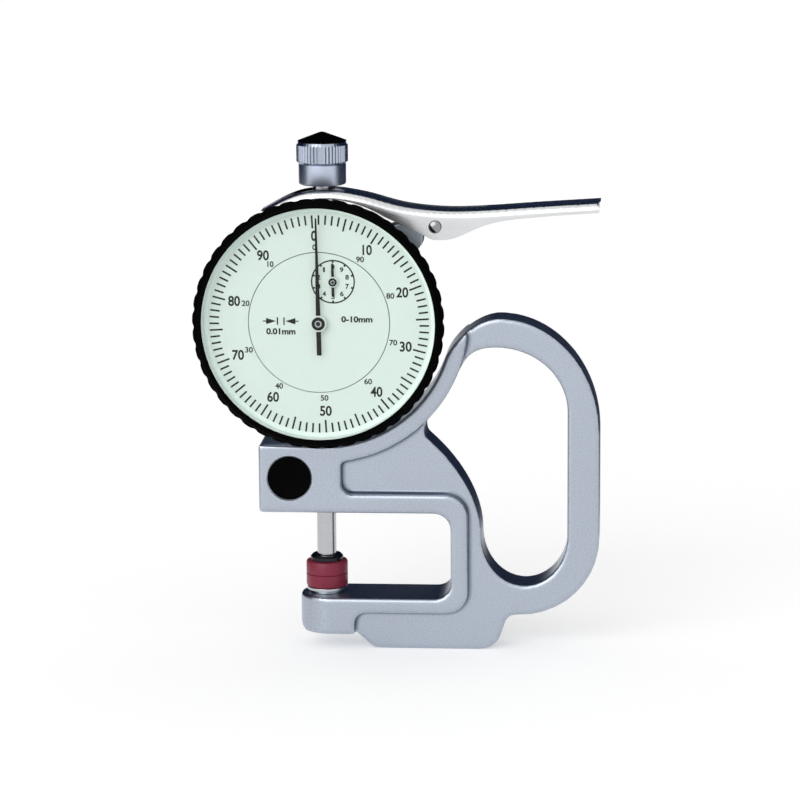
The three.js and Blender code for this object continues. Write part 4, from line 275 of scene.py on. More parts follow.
def join_pieces(name: str, pieces: Sequence[bpy.types.Object]) -> bpy.types.Object:
    """Joins several pieces into one object.

    Args:
        name: The name of the joined piece.
        pieces: The pieces to join.

    Returns:
        The joined piece.
    """
    pick_only(pieces[0])
    for piece in pieces:
        piece.select_set(True)
    bpy.ops.object.join()
    pieces[0].name = name
    pieces[0].data.name = name
    return pieces[0]


def round_edges(
    piece: bpy.types.Object, width: float, segments: int, angle: float = 50.0
) -> None:
    """Rounds every edge sharper than an angle.

    Args:
        piece: The piece to round.
        width: The width of the rounding.
        segments: The number of steps across the rounding.
        angle: The least angle of an edge that is rounded, in degrees.
    """
    pick_only(piece)
    modifier = piece.modifiers.new("rounding", "BEVEL")
    modifier.width = width * MM
    modifier.segments = segments
    modifier.limit_method = "ANGLE"
    modifier.angle_limit = math.radians(angle)
    modifier.use_clamp_overlap = True
    bpy.ops.object.modifier_apply(modifier=modifier.name)


def soften(piece: bpy.types.Object, voxel: float, rounds: int) -> None:
    """Melts the edges of a solid as casting and blasting do.

    Args:
        piece: The solid to soften.
        voxel: The size of the new faces.
        rounds: How often the surface is smoothed.
    """
    pick_only(piece)
    remesh = piece.modifiers.new("cast_skin", "REMESH")
    remesh.mode = "VOXEL"
    remesh.voxel_size = voxel * MM
    bpy.ops.object.modifier_apply(modifier=remesh.name)
    smooth = piece.modifiers.new("blasting", "SMOOTH")
    smooth.factor = 0.5
    smooth.iterations = rounds
    bpy.ops.object.modifier_apply(modifier=smooth.name)
    bpy.ops.object.shade_smooth()


def finish_piece(
    piece: bpy.types.Object,
    body: Body,
    material: bpy.types.Material,
    replaced: Sequence[str] = (),
) -> bpy.types.Object:
    """Gives a piece its finish, its body and the CAD nodes that it stands for.

    Args:
        piece: The finished mesh.
        body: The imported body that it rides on.
        material: The material of its surface.
        replaced: The CAD nodes that it replaces.

    Returns:
        The same piece.
    """
    piece.data.materials.clear()
    piece.data.materials.append(material)
    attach(piece, body.value)
    if replaced:
        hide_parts(*replaced)
    LOG.info("%s rides on %s with %d faces", piece.name, body.value, len(piece.data.polygons))
    return piece


def dress_node(node: str, material: bpy.types.Material) -> None:
    """Gives a CAD node that still shows its material.

    Args:
        node: The name of the CAD node.
        material: The material of its surface.
    """
    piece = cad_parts[node]
    piece.data.materials.clear()
    piece.data.materials.append(material)
    LOG.info("%s keeps its CAD shape", node)


class Outline:
    """A flat outline in X and Z, in millimetres, drawn point after point."""

    def __init__(self, points: Sequence[Point2] = ()) -> None:
        """Starts an outline, which may hold points already."""
        self.points: list[Point2] = list(points)

    def line(self, x: float, z: float) -> "Outline":
        """Adds a straight stretch to a point."""
        self.points.append((x, z))
        return self

    def arc(
        self, centre: Point2, radii: Point2, start: float, end: float, steps: int = 24
    ) -> "Outline":
        """Adds an arc of a circle or an ellipse.

        Args:
            centre: The centre of the arc.
            radii: Its radius along X and along Z.
            start: The angle where it starts, in radians from +X.
            end: The angle where it ends.
            steps: The number of straight steps.

        Returns:
            This outline.
        """
        for index in range(steps + 1):
            angle = start + (end - start) * index / steps
            self.line(
                centre[0] + radii[0] * math.cos(angle), centre[1] + radii[1] * math.sin(angle)
            )
        return self

    def curve(self, first: Point2, second: Point2, end: Point2, steps: int = 24) -> "Outline":
        """Adds a cubic curve from the last point.

        Args:
            first: The first guide point.
            second: The second guide point.
            end: The end of the curve.
            steps: The number of straight steps.

        Returns:
            This outline.
        """
        begin = self.points[-1]
        for index in range(1, steps + 1):
            t = index / steps
            s = 1 - t
            weights = (s**3, 3 * s * s * t, 3 * s * t * t, t**3)
            knots = (begin, first, second, end)
            self.line(
                sum(w * k[0] for w, k in zip(weights, knots)),
                sum(w * k[1] for w, k in zip(weights, knots)),
            )
        return self

    def shifted(self, dx: float) -> list[Point2]:
        """Closes the outline and moves it along X.

        Args:
            dx: The shift.

        Returns:
            The points without doubled neighbours.
        """
        kept: list[Point2] = []
        for x, z in self.points:
            if not kept or math.hypot(x - kept[-1][0], z - kept[-1][1]) > 10 * WELD_MM:
                kept.append((x, z))
        if math.hypot(kept[0][0] - kept[-1][0], kept[0][1] - kept[-1][1]) <= 10 * WELD_MM:
            kept.pop()
        return [(x + dx, z) for x, z in kept]


def rounded(corners: Sequence[tuple[float, float, float]], steps: int = 10) -> Outline:
    """Makes an outline through corners, each with its own rounding.

    Args:
        corners: The X, Z and radius of each corner.
        steps: The number of straight steps of each rounding.

    Returns:
        The outline.
    """
    outline = Outline()
    count = len(corners)
    for index, (x, z, radius) in enumerate(corners):
        if radius <= 0:
            outline.line(x, z)
            continue
        corner = Vector((x, z))
        before = (Vector(corners[index - 1][:2]) - corner).normalized()
        after = (Vector(corners[(index + 1) % count][:2]) - corner).normalized()
        half = math.acos(max(-1.0, min(1.0, before.dot(after)))) / 2
        centre = corner + (before + after).normalized() * (radius / math.sin(half))
        start = corner + before * (radius / math.tan(half)) - centre
        end = corner + after * (radius / math.tan(half)) - centre
        first = math.atan2(start.y, start.x)
        sweep = math.atan2(end.y, end.x) - first
        sweep = (sweep + math.pi) % FULL_TURN - math.pi
        outline.arc((centre.x, centre.y), (radius, radius), first, first + sweep, steps)
    return outline


# Finishes


class NodeBoard:
    """A node tree that is being wired."""

    def __init__(self, tree: bpy.types.NodeTree) -> None:
        """Takes an empty or fresh tree."""
        self.tree = tree

    def add(self, kind: str, **values: object) -> bpy.types.Node:
        """Adds a node.

        Args:
            kind: The node's type.
            values: Settings of the node by name.

        Returns:
            The new node.
        """
        node = self.tree.nodes.new(kind)
        for name, value in values.items():
            setattr(node, name, value)
        return node

    def wire(self, source: bpy.types.NodeSocket, target: bpy.types.NodeSocket) -> None:
        """Joins two sockets."""
        self.tree.links.new(source, target)

    def maths(
        self, operation: str, first: bpy.types.NodeSocket, second: object
    ) -> bpy.types.NodeSocket:
        """Adds a sum of two values.

        Args:
            operation: The name of the operation.
            first: The socket of the first value.
            second: The second value, a number or a socket.

        Returns:
            The socket of the result.
        """
        node = self.add("ShaderNodeMath", operation=operation)
        self.wire(first, node.inputs[0])
        if isinstance(second, (int, float)):
            node.inputs[1].default_value = second
        else:
            self.wire(second, node.inputs[1])
        return node.outputs[0]

    def spread(
        self,
        value: bpy.types.NodeSocket,
        low: float,
        high: float,
        to_low: float = 0.0,
        to_high: float = 1.0,
    ) -> bpy.types.NodeSocket:
        """Maps a value from one range to another.

        Args:
            value: The socket of the value.
            low: The start of its range.
            high: The end of its range.
            to_low: The start of the new range.
            to_high: The end of the new range.

        Returns:
            The socket of the mapped value.
        """
        node = self.add("ShaderNodeMapRange")
        self.wire(value, node.inputs["Value"])
        node.inputs["From Min"].default_value = low
        node.inputs["From Max"].default_value = high
        node.inputs["To Min"].default_value = to_low
        node.inputs["To Max"].default_value = to_high
        return node.outputs["Result"]

    def blend(
        self, share: bpy.types.NodeSocket, first: object, second: object
    ) -> bpy.types.NodeSocket:
        """Mixes two colours.

        Args:
            share: The socket of the second colour's share.
            first: The first colour or its socket.
            second: The second colour or its socket.

        Returns:
            The socket of the mixed colour.
        """
        node = self.add("ShaderNodeMix", data_type="RGBA")
        self.wire(share, node.inputs["Factor"])
        for value, socket in ((first, node.inputs[6]), (second, node.inputs[7])):
            if isinstance(value, tuple):
                socket.default_value = (*value, 1.0)
            else:
                self.wire(value, socket)
        return node.outputs[2]


def new_group(
    name: str, inputs: Sequence[tuple[str, float]], outputs: Sequence[tuple[str, str]]
) -> tuple[bpy.types.NodeTree, NodeBoard, bpy.types.Node, bpy.types.Node]:
    """Starts a shader node group.

    Args:
        name: The name of the group.
        inputs: The name and usual value of each float input.
        outputs: The name and socket type of each output.

    Returns:
        The group, its board, its input node and its output node.
    """
    group = bpy.data.node_groups.new(name, "ShaderNodeTree")
    group.interface.new_socket("Place", in_out="INPUT", socket_type="NodeSocketVector")
    for label, value in inputs:
        socket = group.interface.new_socket(label, in_out="INPUT", socket_type="NodeSocketFloat")
        socket.default_value = value
    for label, kind in outputs:
        group.interface.new_socket(label, in_out="OUTPUT", socket_type=kind)
    board = NodeBoard(group)
    return group, board, board.add("NodeGroupInput"), board.add("NodeGroupOutput")


def grain_group() -> bpy.types.NodeTree:
    """Makes the fine grain of cast, blasted and moulded skins.

    Returns:
        A group that puts out a grain value and a bumped normal.
    """
    group, board, given, result = new_group(
        "fine_grain",
        (("Grains per metre", 5000.0), ("Relief", 0.2), ("Relief depth", 0.00004)),
        (("Grain", "NodeSocketFloat"), ("Normal", "NodeSocketVector")),
    )
    fine = board.add("ShaderNodeTexNoise")
    fine.inputs["Detail"].default_value = 3.0
    fine.inputs["Roughness"].default_value = 0.6
    board.wire(given.outputs["Place"], fine.inputs["Vector"])
    board.wire(given.outputs["Grains per metre"], fine.inputs["Scale"])
    bump = board.add("ShaderNodeBump")
    board.wire(given.outputs["Relief"], bump.inputs["Strength"])
    board.wire(given.outputs["Relief depth"], bump.inputs["Distance"])
    board.wire(fine.outputs["Fac"], bump.inputs["Height"])
    board.wire(board.spread(fine.outputs["Fac"], *NOISE_RANGE), result.inputs["Grain"])
    board.wire(bump.outputs["Normal"], result.inputs["Normal"])
    return group


def smudge_group() -> bpy.types.NodeTree:
    """Makes the slow unevenness of a handled surface, which also places the painted reflection
    clouds of bright sheet.

    Returns:
        A group that puts out a value from 0 to 1.
    """
    group, board, given, result = new_group(
        "handling_marks_and_reflection_clouds", (("Marks per metre", 60.0),), (("Mark", "NodeSocketFloat"),)
    )
    slow = board.add("ShaderNodeTexNoise")
    slow.inputs["Detail"].default_value = 4.0
    slow.inputs["Roughness"].default_value = 0.55
    board.wire(given.outputs["Place"], slow.inputs["Vector"])
    board.wire(given.outputs["Marks per metre"], slow.inputs["Scale"])
    board.wire(board.spread(slow.outputs["Fac"], *NOISE_RANGE), result.inputs["Mark"])
    return group


def edge_group() -> bpy.types.NodeTree:
    """Makes masks of the outer edges and the inner corners of a piece.

    Returns:
        A group that puts out the wear of edges and the painted shade of inner corners, from 0 to 1.
    """
    group, board, given, result = new_group(
        "edge_wear_and_crease_shade",
        (("Start", 0.52), ("Full", 0.62), ("Marks per metre", 300.0)),
        (("Wear", "NodeSocketFloat"), ("Grime", "NodeSocketFloat")),
    )
    geometry = board.add("ShaderNodeNewGeometry")
    # Painted shade: concave creases, found by pointiness, are darkened as if less light reached
    # them.
    grime = board.spread(geometry.outputs["Pointiness"], *CREASE_SHADE_RANGE)
    board.wire(grime, result.inputs["Grime"])
    spread = board.add("ShaderNodeMapRange")
    board.wire(geometry.outputs["Pointiness"], spread.inputs["Value"])
    board.wire(given.outputs["Start"], spread.inputs["From Min"])
    board.wire(given.outputs["Full"], spread.inputs["From Max"])
    patches = board.add("ShaderNodeTexNoise")
    board.wire(given.outputs["Place"], patches.inputs["Vector"])
    board.wire(given.outputs["Marks per metre"], patches.inputs["Scale"])
    share = board.spread(patches.outputs["Fac"], 0.3, 0.6, 0.5, 1.0)
    wear = board.maths("MULTIPLY", spread.outputs["Result"], share)
    board.wire(wear, result.inputs["Wear"])
    return group


def turned_group() -> bpy.types.NodeTree:
    """Makes the fine rings that a turning tool or a grinding wheel leaves.

    Returns:
        A group that puts out the ring value and a bumped normal.
    """
    group, board, given, result = new_group(
        "turning_marks",
        (("Lines per metre", 9000.0), ("Relief", 0.15), ("Relief depth", 0.00001)),
        (("Line", "NodeSocketFloat"), ("Normal", "NodeSocketVector")),
    )
    parts = board.add("ShaderNodeSeparateXYZ")
    board.wire(given.outputs["Place"], parts.inputs["Vector"])
    stretched = board.add("ShaderNodeCombineXYZ")
    for label in ("X", "Y"):
        board.wire(board.maths("MULTIPLY", parts.outputs[label], 0.03), stretched.inputs[label])
    board.wire(parts.outputs["Z"], stretched.inputs["Z"])
    lines = board.add("ShaderNodeTexNoise")
    lines.inputs["Detail"].default_value = 2.0
    board.wire(stretched.outputs["Vector"], lines.inputs["Vector"])
    board.wire(given.outputs["Lines per metre"], lines.inputs["Scale"])
    bump = board.add("ShaderNodeBump")
    board.wire(given.outputs["Relief"], bump.inputs["Strength"])
    board.wire(given.outputs["Relief depth"], bump.inputs["Distance"])
    board.wire(lines.outputs["Fac"], bump.inputs["Height"])
    board.wire(board.spread(lines.outputs["Fac"], 0.35, 0.65), result.inputs["Line"])
    board.wire(bump.outputs["Normal"], result.inputs["Normal"])
    return group


@dataclass(frozen=True)
class Effects:
    """The shared effects that the finishes are wired from."""

    grain: bpy.types.NodeTree = field(default_factory=grain_group)
    smudge: bpy.types.NodeTree = field(default_factory=smudge_group)
    edge: bpy.types.NodeTree = field(default_factory=edge_group)
    turned: bpy.types.NodeTree = field(default_factory=turned_group)


EFFECTS = Effects()
Colour = tuple[float, float, float]


def darker(colour: Colour, share: float) -> Colour:
    """Scales a colour by a share."""
    return tuple(min(1.0, c * share) for c in colour)


@dataclass(frozen=True)
class Finish:
    """An opaque finish with grain, handling marks and worn edges, and where asked painted shade in
    inner corners and painted reflection clouds.
    """

    name: str
    colour: Colour
    metallic: float = 0.0
    roughness: float = 0.4
    roughness_spread: float = 0.06
    tone_spread: float = 0.06
    grains: float = 5000.0
    relief: float = 0.15
    relief_depth: float = 0.00003
    marks: float = 60.0
    wear_colour: Colour = (0.8, 0.8, 0.8)
    wear: float = 0.0
    # Painted shade laid into inner corners: its dark navy colour and its share.
    grime_colour: Colour = (0.05, 0.07, 0.12)
    grime: float = 0.0
    turned: bool = False
    coat: float = 0.0
    specular: float = 0.5
    # Share and darkness of the painted reflection clouds.
    cloud: float = 0.0
    cloud_shade: float = 0.45

    def build(self) -> bpy.types.Material:
        """Wires the material.

        Returns:
            The new material.
        """
        material = bpy.data.materials.new(self.name)
        material.use_nodes = True
        board = NodeBoard(material.node_tree)
        shader = material.node_tree.nodes["Principled BSDF"]
        place = board.add("ShaderNodeTexCoord").outputs["Object"]
        texture = EFFECTS.turned if self.turned else EFFECTS.grain
        pattern = board.add("ShaderNodeGroup", node_tree=texture)
        board.wire(place, pattern.inputs["Place"])
        pattern.inputs[1].default_value = self.grains
        pattern.inputs["Relief"].default_value = self.relief
        pattern.inputs["Relief depth"].default_value = self.relief_depth
        marks = board.add("ShaderNodeGroup", node_tree=EFFECTS.smudge)
        board.wire(place, marks.inputs["Place"])
        marks.inputs["Marks per metre"].default_value = self.marks
        tone = board.blend(
            pattern.outputs[0],
            darker(self.colour, 1 - self.tone_spread),
            darker(self.colour, 1 + self.tone_spread),
        )
        # Painted reflection: slow darker clouds laid into the colour, as a bright sheet mirrors its
        # surroundings.
        if self.cloud > 0:
            share = board.maths("MULTIPLY", marks.outputs["Mark"], self.cloud)
            tone = board.blend(share, tone, darker(self.colour, self.cloud_shade))
        if self.wear > 0:
            edge = board.add("ShaderNodeGroup", node_tree=EFFECTS.edge)
            board.wire(place, edge.inputs["Place"])
            share = board.maths("MULTIPLY", edge.outputs["Wear"], self.wear)
            tone = board.blend(share, tone, self.wear_colour)
            # Painted shade: inner corners are blended towards a dark navy.
            share = board.maths("MULTIPLY", edge.outputs["Grime"], self.grime)
            tone = board.blend(share, tone, self.grime_colour)
        board.wire(tone, shader.inputs["Base Color"])
        gloss = board.spread(
            marks.outputs["Mark"],
            0.0,
            1.0,
            self.roughness - self.roughness_spread,
            self.roughness + self.roughness_spread,
        )
        board.wire(gloss, shader.inputs["Roughness"])
        board.wire(pattern.outputs["Normal"], shader.inputs["Normal"])
        shader.inputs["Metallic"].default_value = self.metallic
        shader.inputs["Coat Weight"].default_value = self.coat
        shader.inputs["Specular IOR Level"].default_value = self.specular
        return material


@dataclass(frozen=True)
class GlassFinish:
    """The clear crystal over the dial."""

    name: str = "crystal_glass"
    colour: Colour = (0.93, 0.98, 0.96)
    roughness: float = 0.01
    index: float = 1.3
    specular: float = 0.15

    def build(self) -> bpy.types.Material:
        """Wires the material.

        Returns:
            The new material.
        """
        material = bpy.data.materials.new(self.name)
        material.use_nodes = True
        board = NodeBoard(material.node_tree)
        shader = material.node_tree.nodes["Principled BSDF"]
        place = board.add("ShaderNodeTexCoord").outputs["Object"]
        marks = board.add("ShaderNodeGroup", node_tree=EFFECTS.smudge)
        board.wire(place, marks.inputs["Place"])
        gloss = board.spread(
            marks.outputs["Mark"], 0.0, 1.0, self.roughness, 3 * self.roughness
        )
        board.wire(gloss, shader.inputs["Roughness"])
        shader.inputs["Base Color"].default_value = (*self.colour, 1.0)
        shader.inputs["Transmission Weight"].default_value = 1.0
        shader.inputs["IOR"].default_value = self.index
        shader.inputs["Specular IOR Level"].default_value = self.specular
        return material


# The casting carries painted shade in its inner corners, besides real edge wear.
CAST = Finish(
    "cast_aluminium_skin", (0.425, 0.47, 0.54), metallic=1.0, roughness=0.35, tone_spread=0.16,
    grains=3200.0, relief=0.25, relief_depth=0.00003, marks=40.0,
    wear_colour=(0.8, 0.84, 0.9), wear=0.3, grime=0.75,
)
GROUND_STEEL = Finish(
    "ground_steel", (0.5, 0.51, 0.53), metallic=1.0, roughness=0.18, tone_spread=0.04,
    grains=9000.0, relief=0.2, relief_depth=0.00001, turned=True,
)
SATIN_STEEL = Finish(
    "satin_steel", (0.54, 0.6, 0.72), metallic=1.0, roughness=0.34, tone_spread=0.12,
    grains=5000.0, relief=0.3, relief_depth=0.00002,
)
KNURLED_STEEL = Finish(
    "knurled_steel", (0.44, 0.49, 0.59), metallic=1.0, roughness=0.26, tone_spread=0.06,
    grains=6000.0, relief=0.2,
)
DARK_STEEL = Finish(
    "dark_steel", (0.03, 0.03, 0.036), metallic=1.0, roughness=0.25, tone_spread=0.1,
    grains=7000.0, relief=0.1, turned=True,
)
# Bright sheet carries painted reflection clouds in its colour.
BRIGHT_SHEET = Finish(
    "bright_sheet_metal", (0.74, 0.75, 0.76), metallic=1.0, roughness=0.24, tone_spread=0.03,
    roughness_spread=0.05, grains=2600.0, relief=0.12, relief_depth=0.00002, marks=38.0,
    cloud=0.35,
)
RIVET_STEEL = Finish(
    "rivet_steel", (0.3, 0.3, 0.32), metallic=1.0, roughness=0.16, tone_spread=0.05,
    grains=8000.0, relief=0.05,
)
BLACK_MOULDING = Finish(
    "black_moulding", (0.001, 0.001, 0.0012), roughness=0.45, tone_spread=0.2, grains=6000.0,
    relief=0.2, relief_depth=0.00003, specular=0.02,
)
BLACK_LACQUER = Finish(
    "black_lacquer", (0.001, 0.001, 0.0012), roughness=0.3, tone_spread=0.2, grains=8000.0,
    relief=0.05, specular=0.005,
)
RED_CERAMIC = Finish(
    "red_ceramic_glaze", (0.235, 0.024, 0.052), roughness=0.34, tone_spread=0.08, grains=3000.0,
    relief=0.06, specular=0.3,
)
DIAL_ENAMEL = Finish(
    "dial_enamel", (0.74, 0.794, 0.76), roughness=0.6, tone_spread=0.012, grains=1500.0,
    relief=0.02, roughness_spread=0.04, specular=0.1,
)
DIAL_INK = Finish(
    "dial_ink", (0.004, 0.005, 0.005), roughness=0.6, tone_spread=0.1, grains=9000.0,
    relief=0.05, specular=0.05,
)
YELLOW_BRASS = Finish(
    "yellow_brass", (0.6, 0.4, 0.1), metallic=1.0, roughness=0.3, tone_spread=0.05, relief=0.1,
)
RUBY_STONE = Finish("ruby_stone", (0.45, 0.006, 0.04), roughness=0.12, relief=0.0, coat=0.5)
# Painted light: a pale glow for the crystal rim's reflection, laid on the dial's outer band and the
# crystal's seal.
PAINTED_RIM_GLOW = Finish(
    "painted_rim_glow", (0.86, 0.92, 0.89), roughness=0.6, tone_spread=0.01, relief=0.02, specular=0.1,
)


@dataclass
class FrameCasting:
    """The C frame with its handle loop, drawn about the spindle axis."""

    half_body: float = 7.5
    half_web: float = 5.0
    contact_arm_top: float = 12.5
    arm_bottom: float = 3.8
    block_bottom: float = 32.8
    block_top: float = 48.9
    handle_top: float = 78.2
    handle_bottom: float = 8.3
    block_left: float = 14.95
    arm_left: float = 6.1
    throat: float = 29.4
    handle_reach: float = 63.75
    foot_left: float = 11.4
    foot_right: float = 39.7
    rib_width: float = 4.0
    upper_rib: float = 4.4
    lower_rib: float = 3.5
    boss_reach: float = 6.9
    pocket_reach: float = 4.1
    strut_inner: float = 29.7
    strut_outer: float = 33.7
    strut_angle: float = -0.33
    loop_left: float = 36.5
    loop_angle: float = -0.42
    grip: float = 7.45
    grip_top: float = 6.8
    loop_floor: float = 7.1
    notch: Point2 = (23.9, 50.3)
    notch_overlap: float = 0.3
    notch_bulge: float = 1.1
    web_overlap: float = 0.3
    foot_rounding: float = 2.4
    heel_rounding: float = 5.0
    heel_run: float = 2.82
    hollow_rounding: float = 2.5
    grip_rounding: float = 18.5
    arm_rounding: float = 2.0
    recess_rounding: float = 2.8
    rib_rounding: float = 5.2
    pocket_rounding: float = 2.6
    pocket_top_rounding: float = 1.2
    pocket_step: Point2 = (2.6, 0.3)
    block_rounding: float = 0.7
    throat_rounding: float = 3.8
    shoulder_share: float = 0.382
    crown_share: float = 0.637
    crest_shares: Point3 = (0.6, 0.115, 0.56)
    loop_crown_share: float = 0.177
    loop_height_shares: Point2 = (0.21, 0.732)
    loop_crest_shares: Point3 = (0.45, 0.234, 0.23)
    loop_side_shares: Point3 = (0.48, 0.76, 0.38)
    voxel: float = 0.36
    smoothing: int = 9
    overrun: float = 1.0
    stem_bore: Point3 = (4.09, 36.2, 60.0)
    guide_bore: Point3 = (2.55, 30.0, 37.0)
    anvil_bore: Point3 = (3.06, 6.2, 14.0)
    cotter_place: Point2 = (-7.83, 41.0)
    cotter_radius: float = 5.0
    cotter_gap: float = 0.09
    cotter_lip: float = 0.3
    disc_inset: float = 0.4
    disc_split: float = 0.5
    disc_rounding: float = 0.35
    disc_dish: float = 0.12
    stem_space: Point3 = (4.06, 30.0, 52.0)

    def ray(self, radius: float, angle: float) -> Point2:
        """Gives a point on a circle about the dial's axis."""
        return radius * math.cos(angle), DIAL_Z + radius * math.sin(angle)

    def web_outline(self) -> list[Point2]:
        """Draws the thin web with the handle.

        Returns:
            The closed outline.
        """
        height = self.handle_top - self.handle_bottom
        shoulder = self.handle_top - height * self.shoulder_share
        crown = self.handle_reach * self.crown_share
        far, steep, deep = self.crest_shares
        outline = rounded([
            (self.boss_reach, self.arm_bottom + self.web_overlap, 0),
            (self.foot_left, 0, self.foot_rounding),
            (self.foot_right, 0, self.heel_rounding),
            (self.foot_right + self.heel_run, self.handle_bottom, self.hollow_rounding),
            (self.handle_reach, self.handle_bottom, self.grip_rounding),
            (self.handle_reach, shoulder, 0),
        ])
        outline.arc(
            (crown, shoulder), (self.handle_reach - crown, self.handle_top - shoulder),
            0, QUARTER_TURN, 30,
        )
        end = self.ray(self.strut_inner, self.strut_angle)
        run, rise = crown - end[0], self.handle_top - end[1]
        outline.curve(
            (end[0] + run * far, self.handle_top),
            (end[0] + run * steep, self.handle_top - rise * deep),
            end,
        )
        outline.arc(
            (0, DIAL_Z), (self.strut_inner, self.strut_inner), self.strut_angle, -QUARTER_TURN, 40
        )
        middle = self.throat + self.rib_width / 2
        outline.line(0, self.block_bottom + self.upper_rib / 2)
        outline.line(middle, self.block_bottom + self.upper_rib / 2)
        outline.line(middle, self.contact_arm_top - self.lower_rib / 2)
        outline.line(self.boss_reach, self.contact_arm_top - self.lower_rib / 2)
        return outline.shifted(SPINDLE_X)

    def loop_outline(self) -> list[Point2]:
        """Draws the finger hole of the handle.

        Returns:
            The closed outline.
        """
        right = self.handle_reach - self.grip
        top = self.handle_top - self.grip_top
        bottom = self.handle_bottom + self.loop_floor
        height = top - bottom
        crown = self.loop_left + (right - self.loop_left) * self.loop_crown_share
        foot = (self.loop_left + right) / 2
        low, high = (bottom + height * share for share in self.loop_height_shares)
        far, steep, deep = self.loop_crest_shares
        bend, above_low, near_low = self.loop_side_shares
        outline = Outline()
        outline.arc((foot, low), (right - foot, low - bottom), -QUARTER_TURN, 0)
        outline.arc((crown, high), (right - crown, top - high), 0, QUARTER_TURN, 30)
        start = self.ray(self.strut_outer, self.loop_angle)
        run, rise = crown - start[0], top - start[1]
        outline.curve(
            (start[0] + run * far, top), (start[0] + run * steep, top - rise * deep), start
        )
        notch_x, notch_z = self.notch
        notch_angle = -math.acos((notch_x + self.notch_overlap) / self.strut_outer)
        outline.arc(
            (0, DIAL_Z), (self.strut_outer, self.strut_outer), self.loop_angle, notch_angle
        )
        above = self.ray(self.strut_outer, notch_angle)
        bulge = (notch_x - self.notch_bulge, (above[1] + notch_z) / 2)
        outline.curve(
            (above[0] + (bulge[0] - above[0]) * 2 / 3, above[1] + (bulge[1] - above[1]) * 2 / 3),
            (notch_x + (bulge[0] - notch_x) * 2 / 3, notch_z + (bulge[1] - notch_z) * 2 / 3),
            (notch_x, notch_z), 10,
        )
        run, rise = self.loop_left - notch_x, notch_z - low
        outline.curve(
            (self.loop_left - run * bend, low + rise * above_low),
            (self.loop_left, low + rise * near_low),
            (self.loop_left, low),
        )
        outline.arc((foot, low), (right - foot, low - bottom), math.pi, 1.5 * math.pi)
        return outline.shifted(SPINDLE_X)

    def body_outline(self) -> list[Point2]:
        """Draws the thick ribs, the arm boss and the block round the stem.

        Returns:
            The closed outline.
        """
        rib = self.throat + self.rib_width
        floor = self.block_bottom + self.upper_rib
        pocket = self.ray(self.strut_outer, -math.acos(self.pocket_reach / self.strut_outer))
        arm_floor = self.contact_arm_top - self.lower_rib
        return rounded([
            (-self.arm_left, self.arm_bottom, self.arm_rounding),
            (self.boss_reach, self.arm_bottom, 0),
            (self.boss_reach, arm_floor, self.recess_rounding),
            (rib, arm_floor, self.rib_rounding),
            (rib, floor, self.rib_rounding),
            (self.pocket_reach, floor, self.pocket_rounding),
            (self.pocket_reach, pocket[1], self.pocket_top_rounding),
            (pocket[0] + self.pocket_step[0], pocket[1] + self.pocket_step[1], 0),
            (0, DIAL_Z - self.strut_inner, 0),
            (-self.block_left, self.block_top, self.block_rounding),
            (-self.block_left, self.block_bottom, self.block_rounding),
            (self.throat, self.block_bottom, self.throat_rounding),
            (self.throat, self.contact_arm_top, self.throat_rounding),
            (-self.arm_left, self.contact_arm_top, 0),
        ]).shifted(SPINDLE_X)

    def strut_outline(self) -> list[Point2]:
        """Draws the thick strut that follows the bezel to the handle.

        Returns:
            The closed outline.
        """
        rib = self.throat + self.rib_width
        end = -math.acos(rib / self.strut_outer)
        outline = Outline()
        outline.arc(
            (0, DIAL_Z), (self.strut_inner, self.strut_inner), -QUARTER_TURN, self.strut_angle, 40
        )
        outline.line(self.ray(self.strut_inner, self.strut_angle)[0], self.handle_top)
        outline.line(rib, self.handle_top)
        outline.arc((0, DIAL_Z), (self.strut_outer, self.strut_outer), end, -QUARTER_TURN, 40)
        return outline.shifted(SPINDLE_X)

    def cotter_cutter(self) -> bpy.types.Object:
        """Makes the tool that bores the cotter hole and breaks its edges.

        Returns:
            The tool solid.
        """
        bore, lip, proud = self.cotter_radius + self.cotter_gap, self.cotter_lip, self.overrun
        edge = self.half_body
        profile = [(0, -edge - proud), (bore + lip + proud, -edge - proud)]
        profile += [(bore + lip, -edge), (bore, -edge + lip), (bore, edge - lip)]
        profile += [(bore + lip, edge), (bore + lip + proud, edge + proud), (0, edge + proud)]
        place = (SPINDLE_X + self.cotter_place[0], 0.0, self.cotter_place[1])
        return turn_piece("cotter_cutter", profile, Axis.DEPTH, place)

    def bore_cutter(self, radius: float, low: float, high: float) -> bpy.types.Object:
        """Makes the tool for a bore on the spindle axis.

        Args:
            radius: The radius of the bore.
            low: Its lower end.
            high: Its upper end.

        Returns:
            The tool solid.
        """
        profile = [(0, low), (radius, low), (radius, high), (0, high)]
        return turn_piece("bore_cutter", profile, Axis.HEIGHT)

    def endmost(self) -> bpy.types.Object:
        """Makes the tool that rounds the end of the arm.

        Returns:
            The tool solid.
        """
        over, body = self.overrun, self.half_body
        centre = SPINDLE_X + body - self.arm_left
        low, high = self.arm_bottom - 2 * over, self.contact_arm_top + 2 * over
        left = SPINDLE_X - self.arm_left - over
        outline = [(left, low), (centre, low), (centre, high), (left, high)]
        tool = cut_plate("arm_end", outline, -body - over, body + over)
        post = turn_piece(
            "arm_post",
            [(0, low - over), (body, low - over), (body, high + over), (0, high + over)],
            Axis.HEIGHT, (centre, 0.0, 0.0),
        )
        return combine(tool, post, "DIFFERENCE")

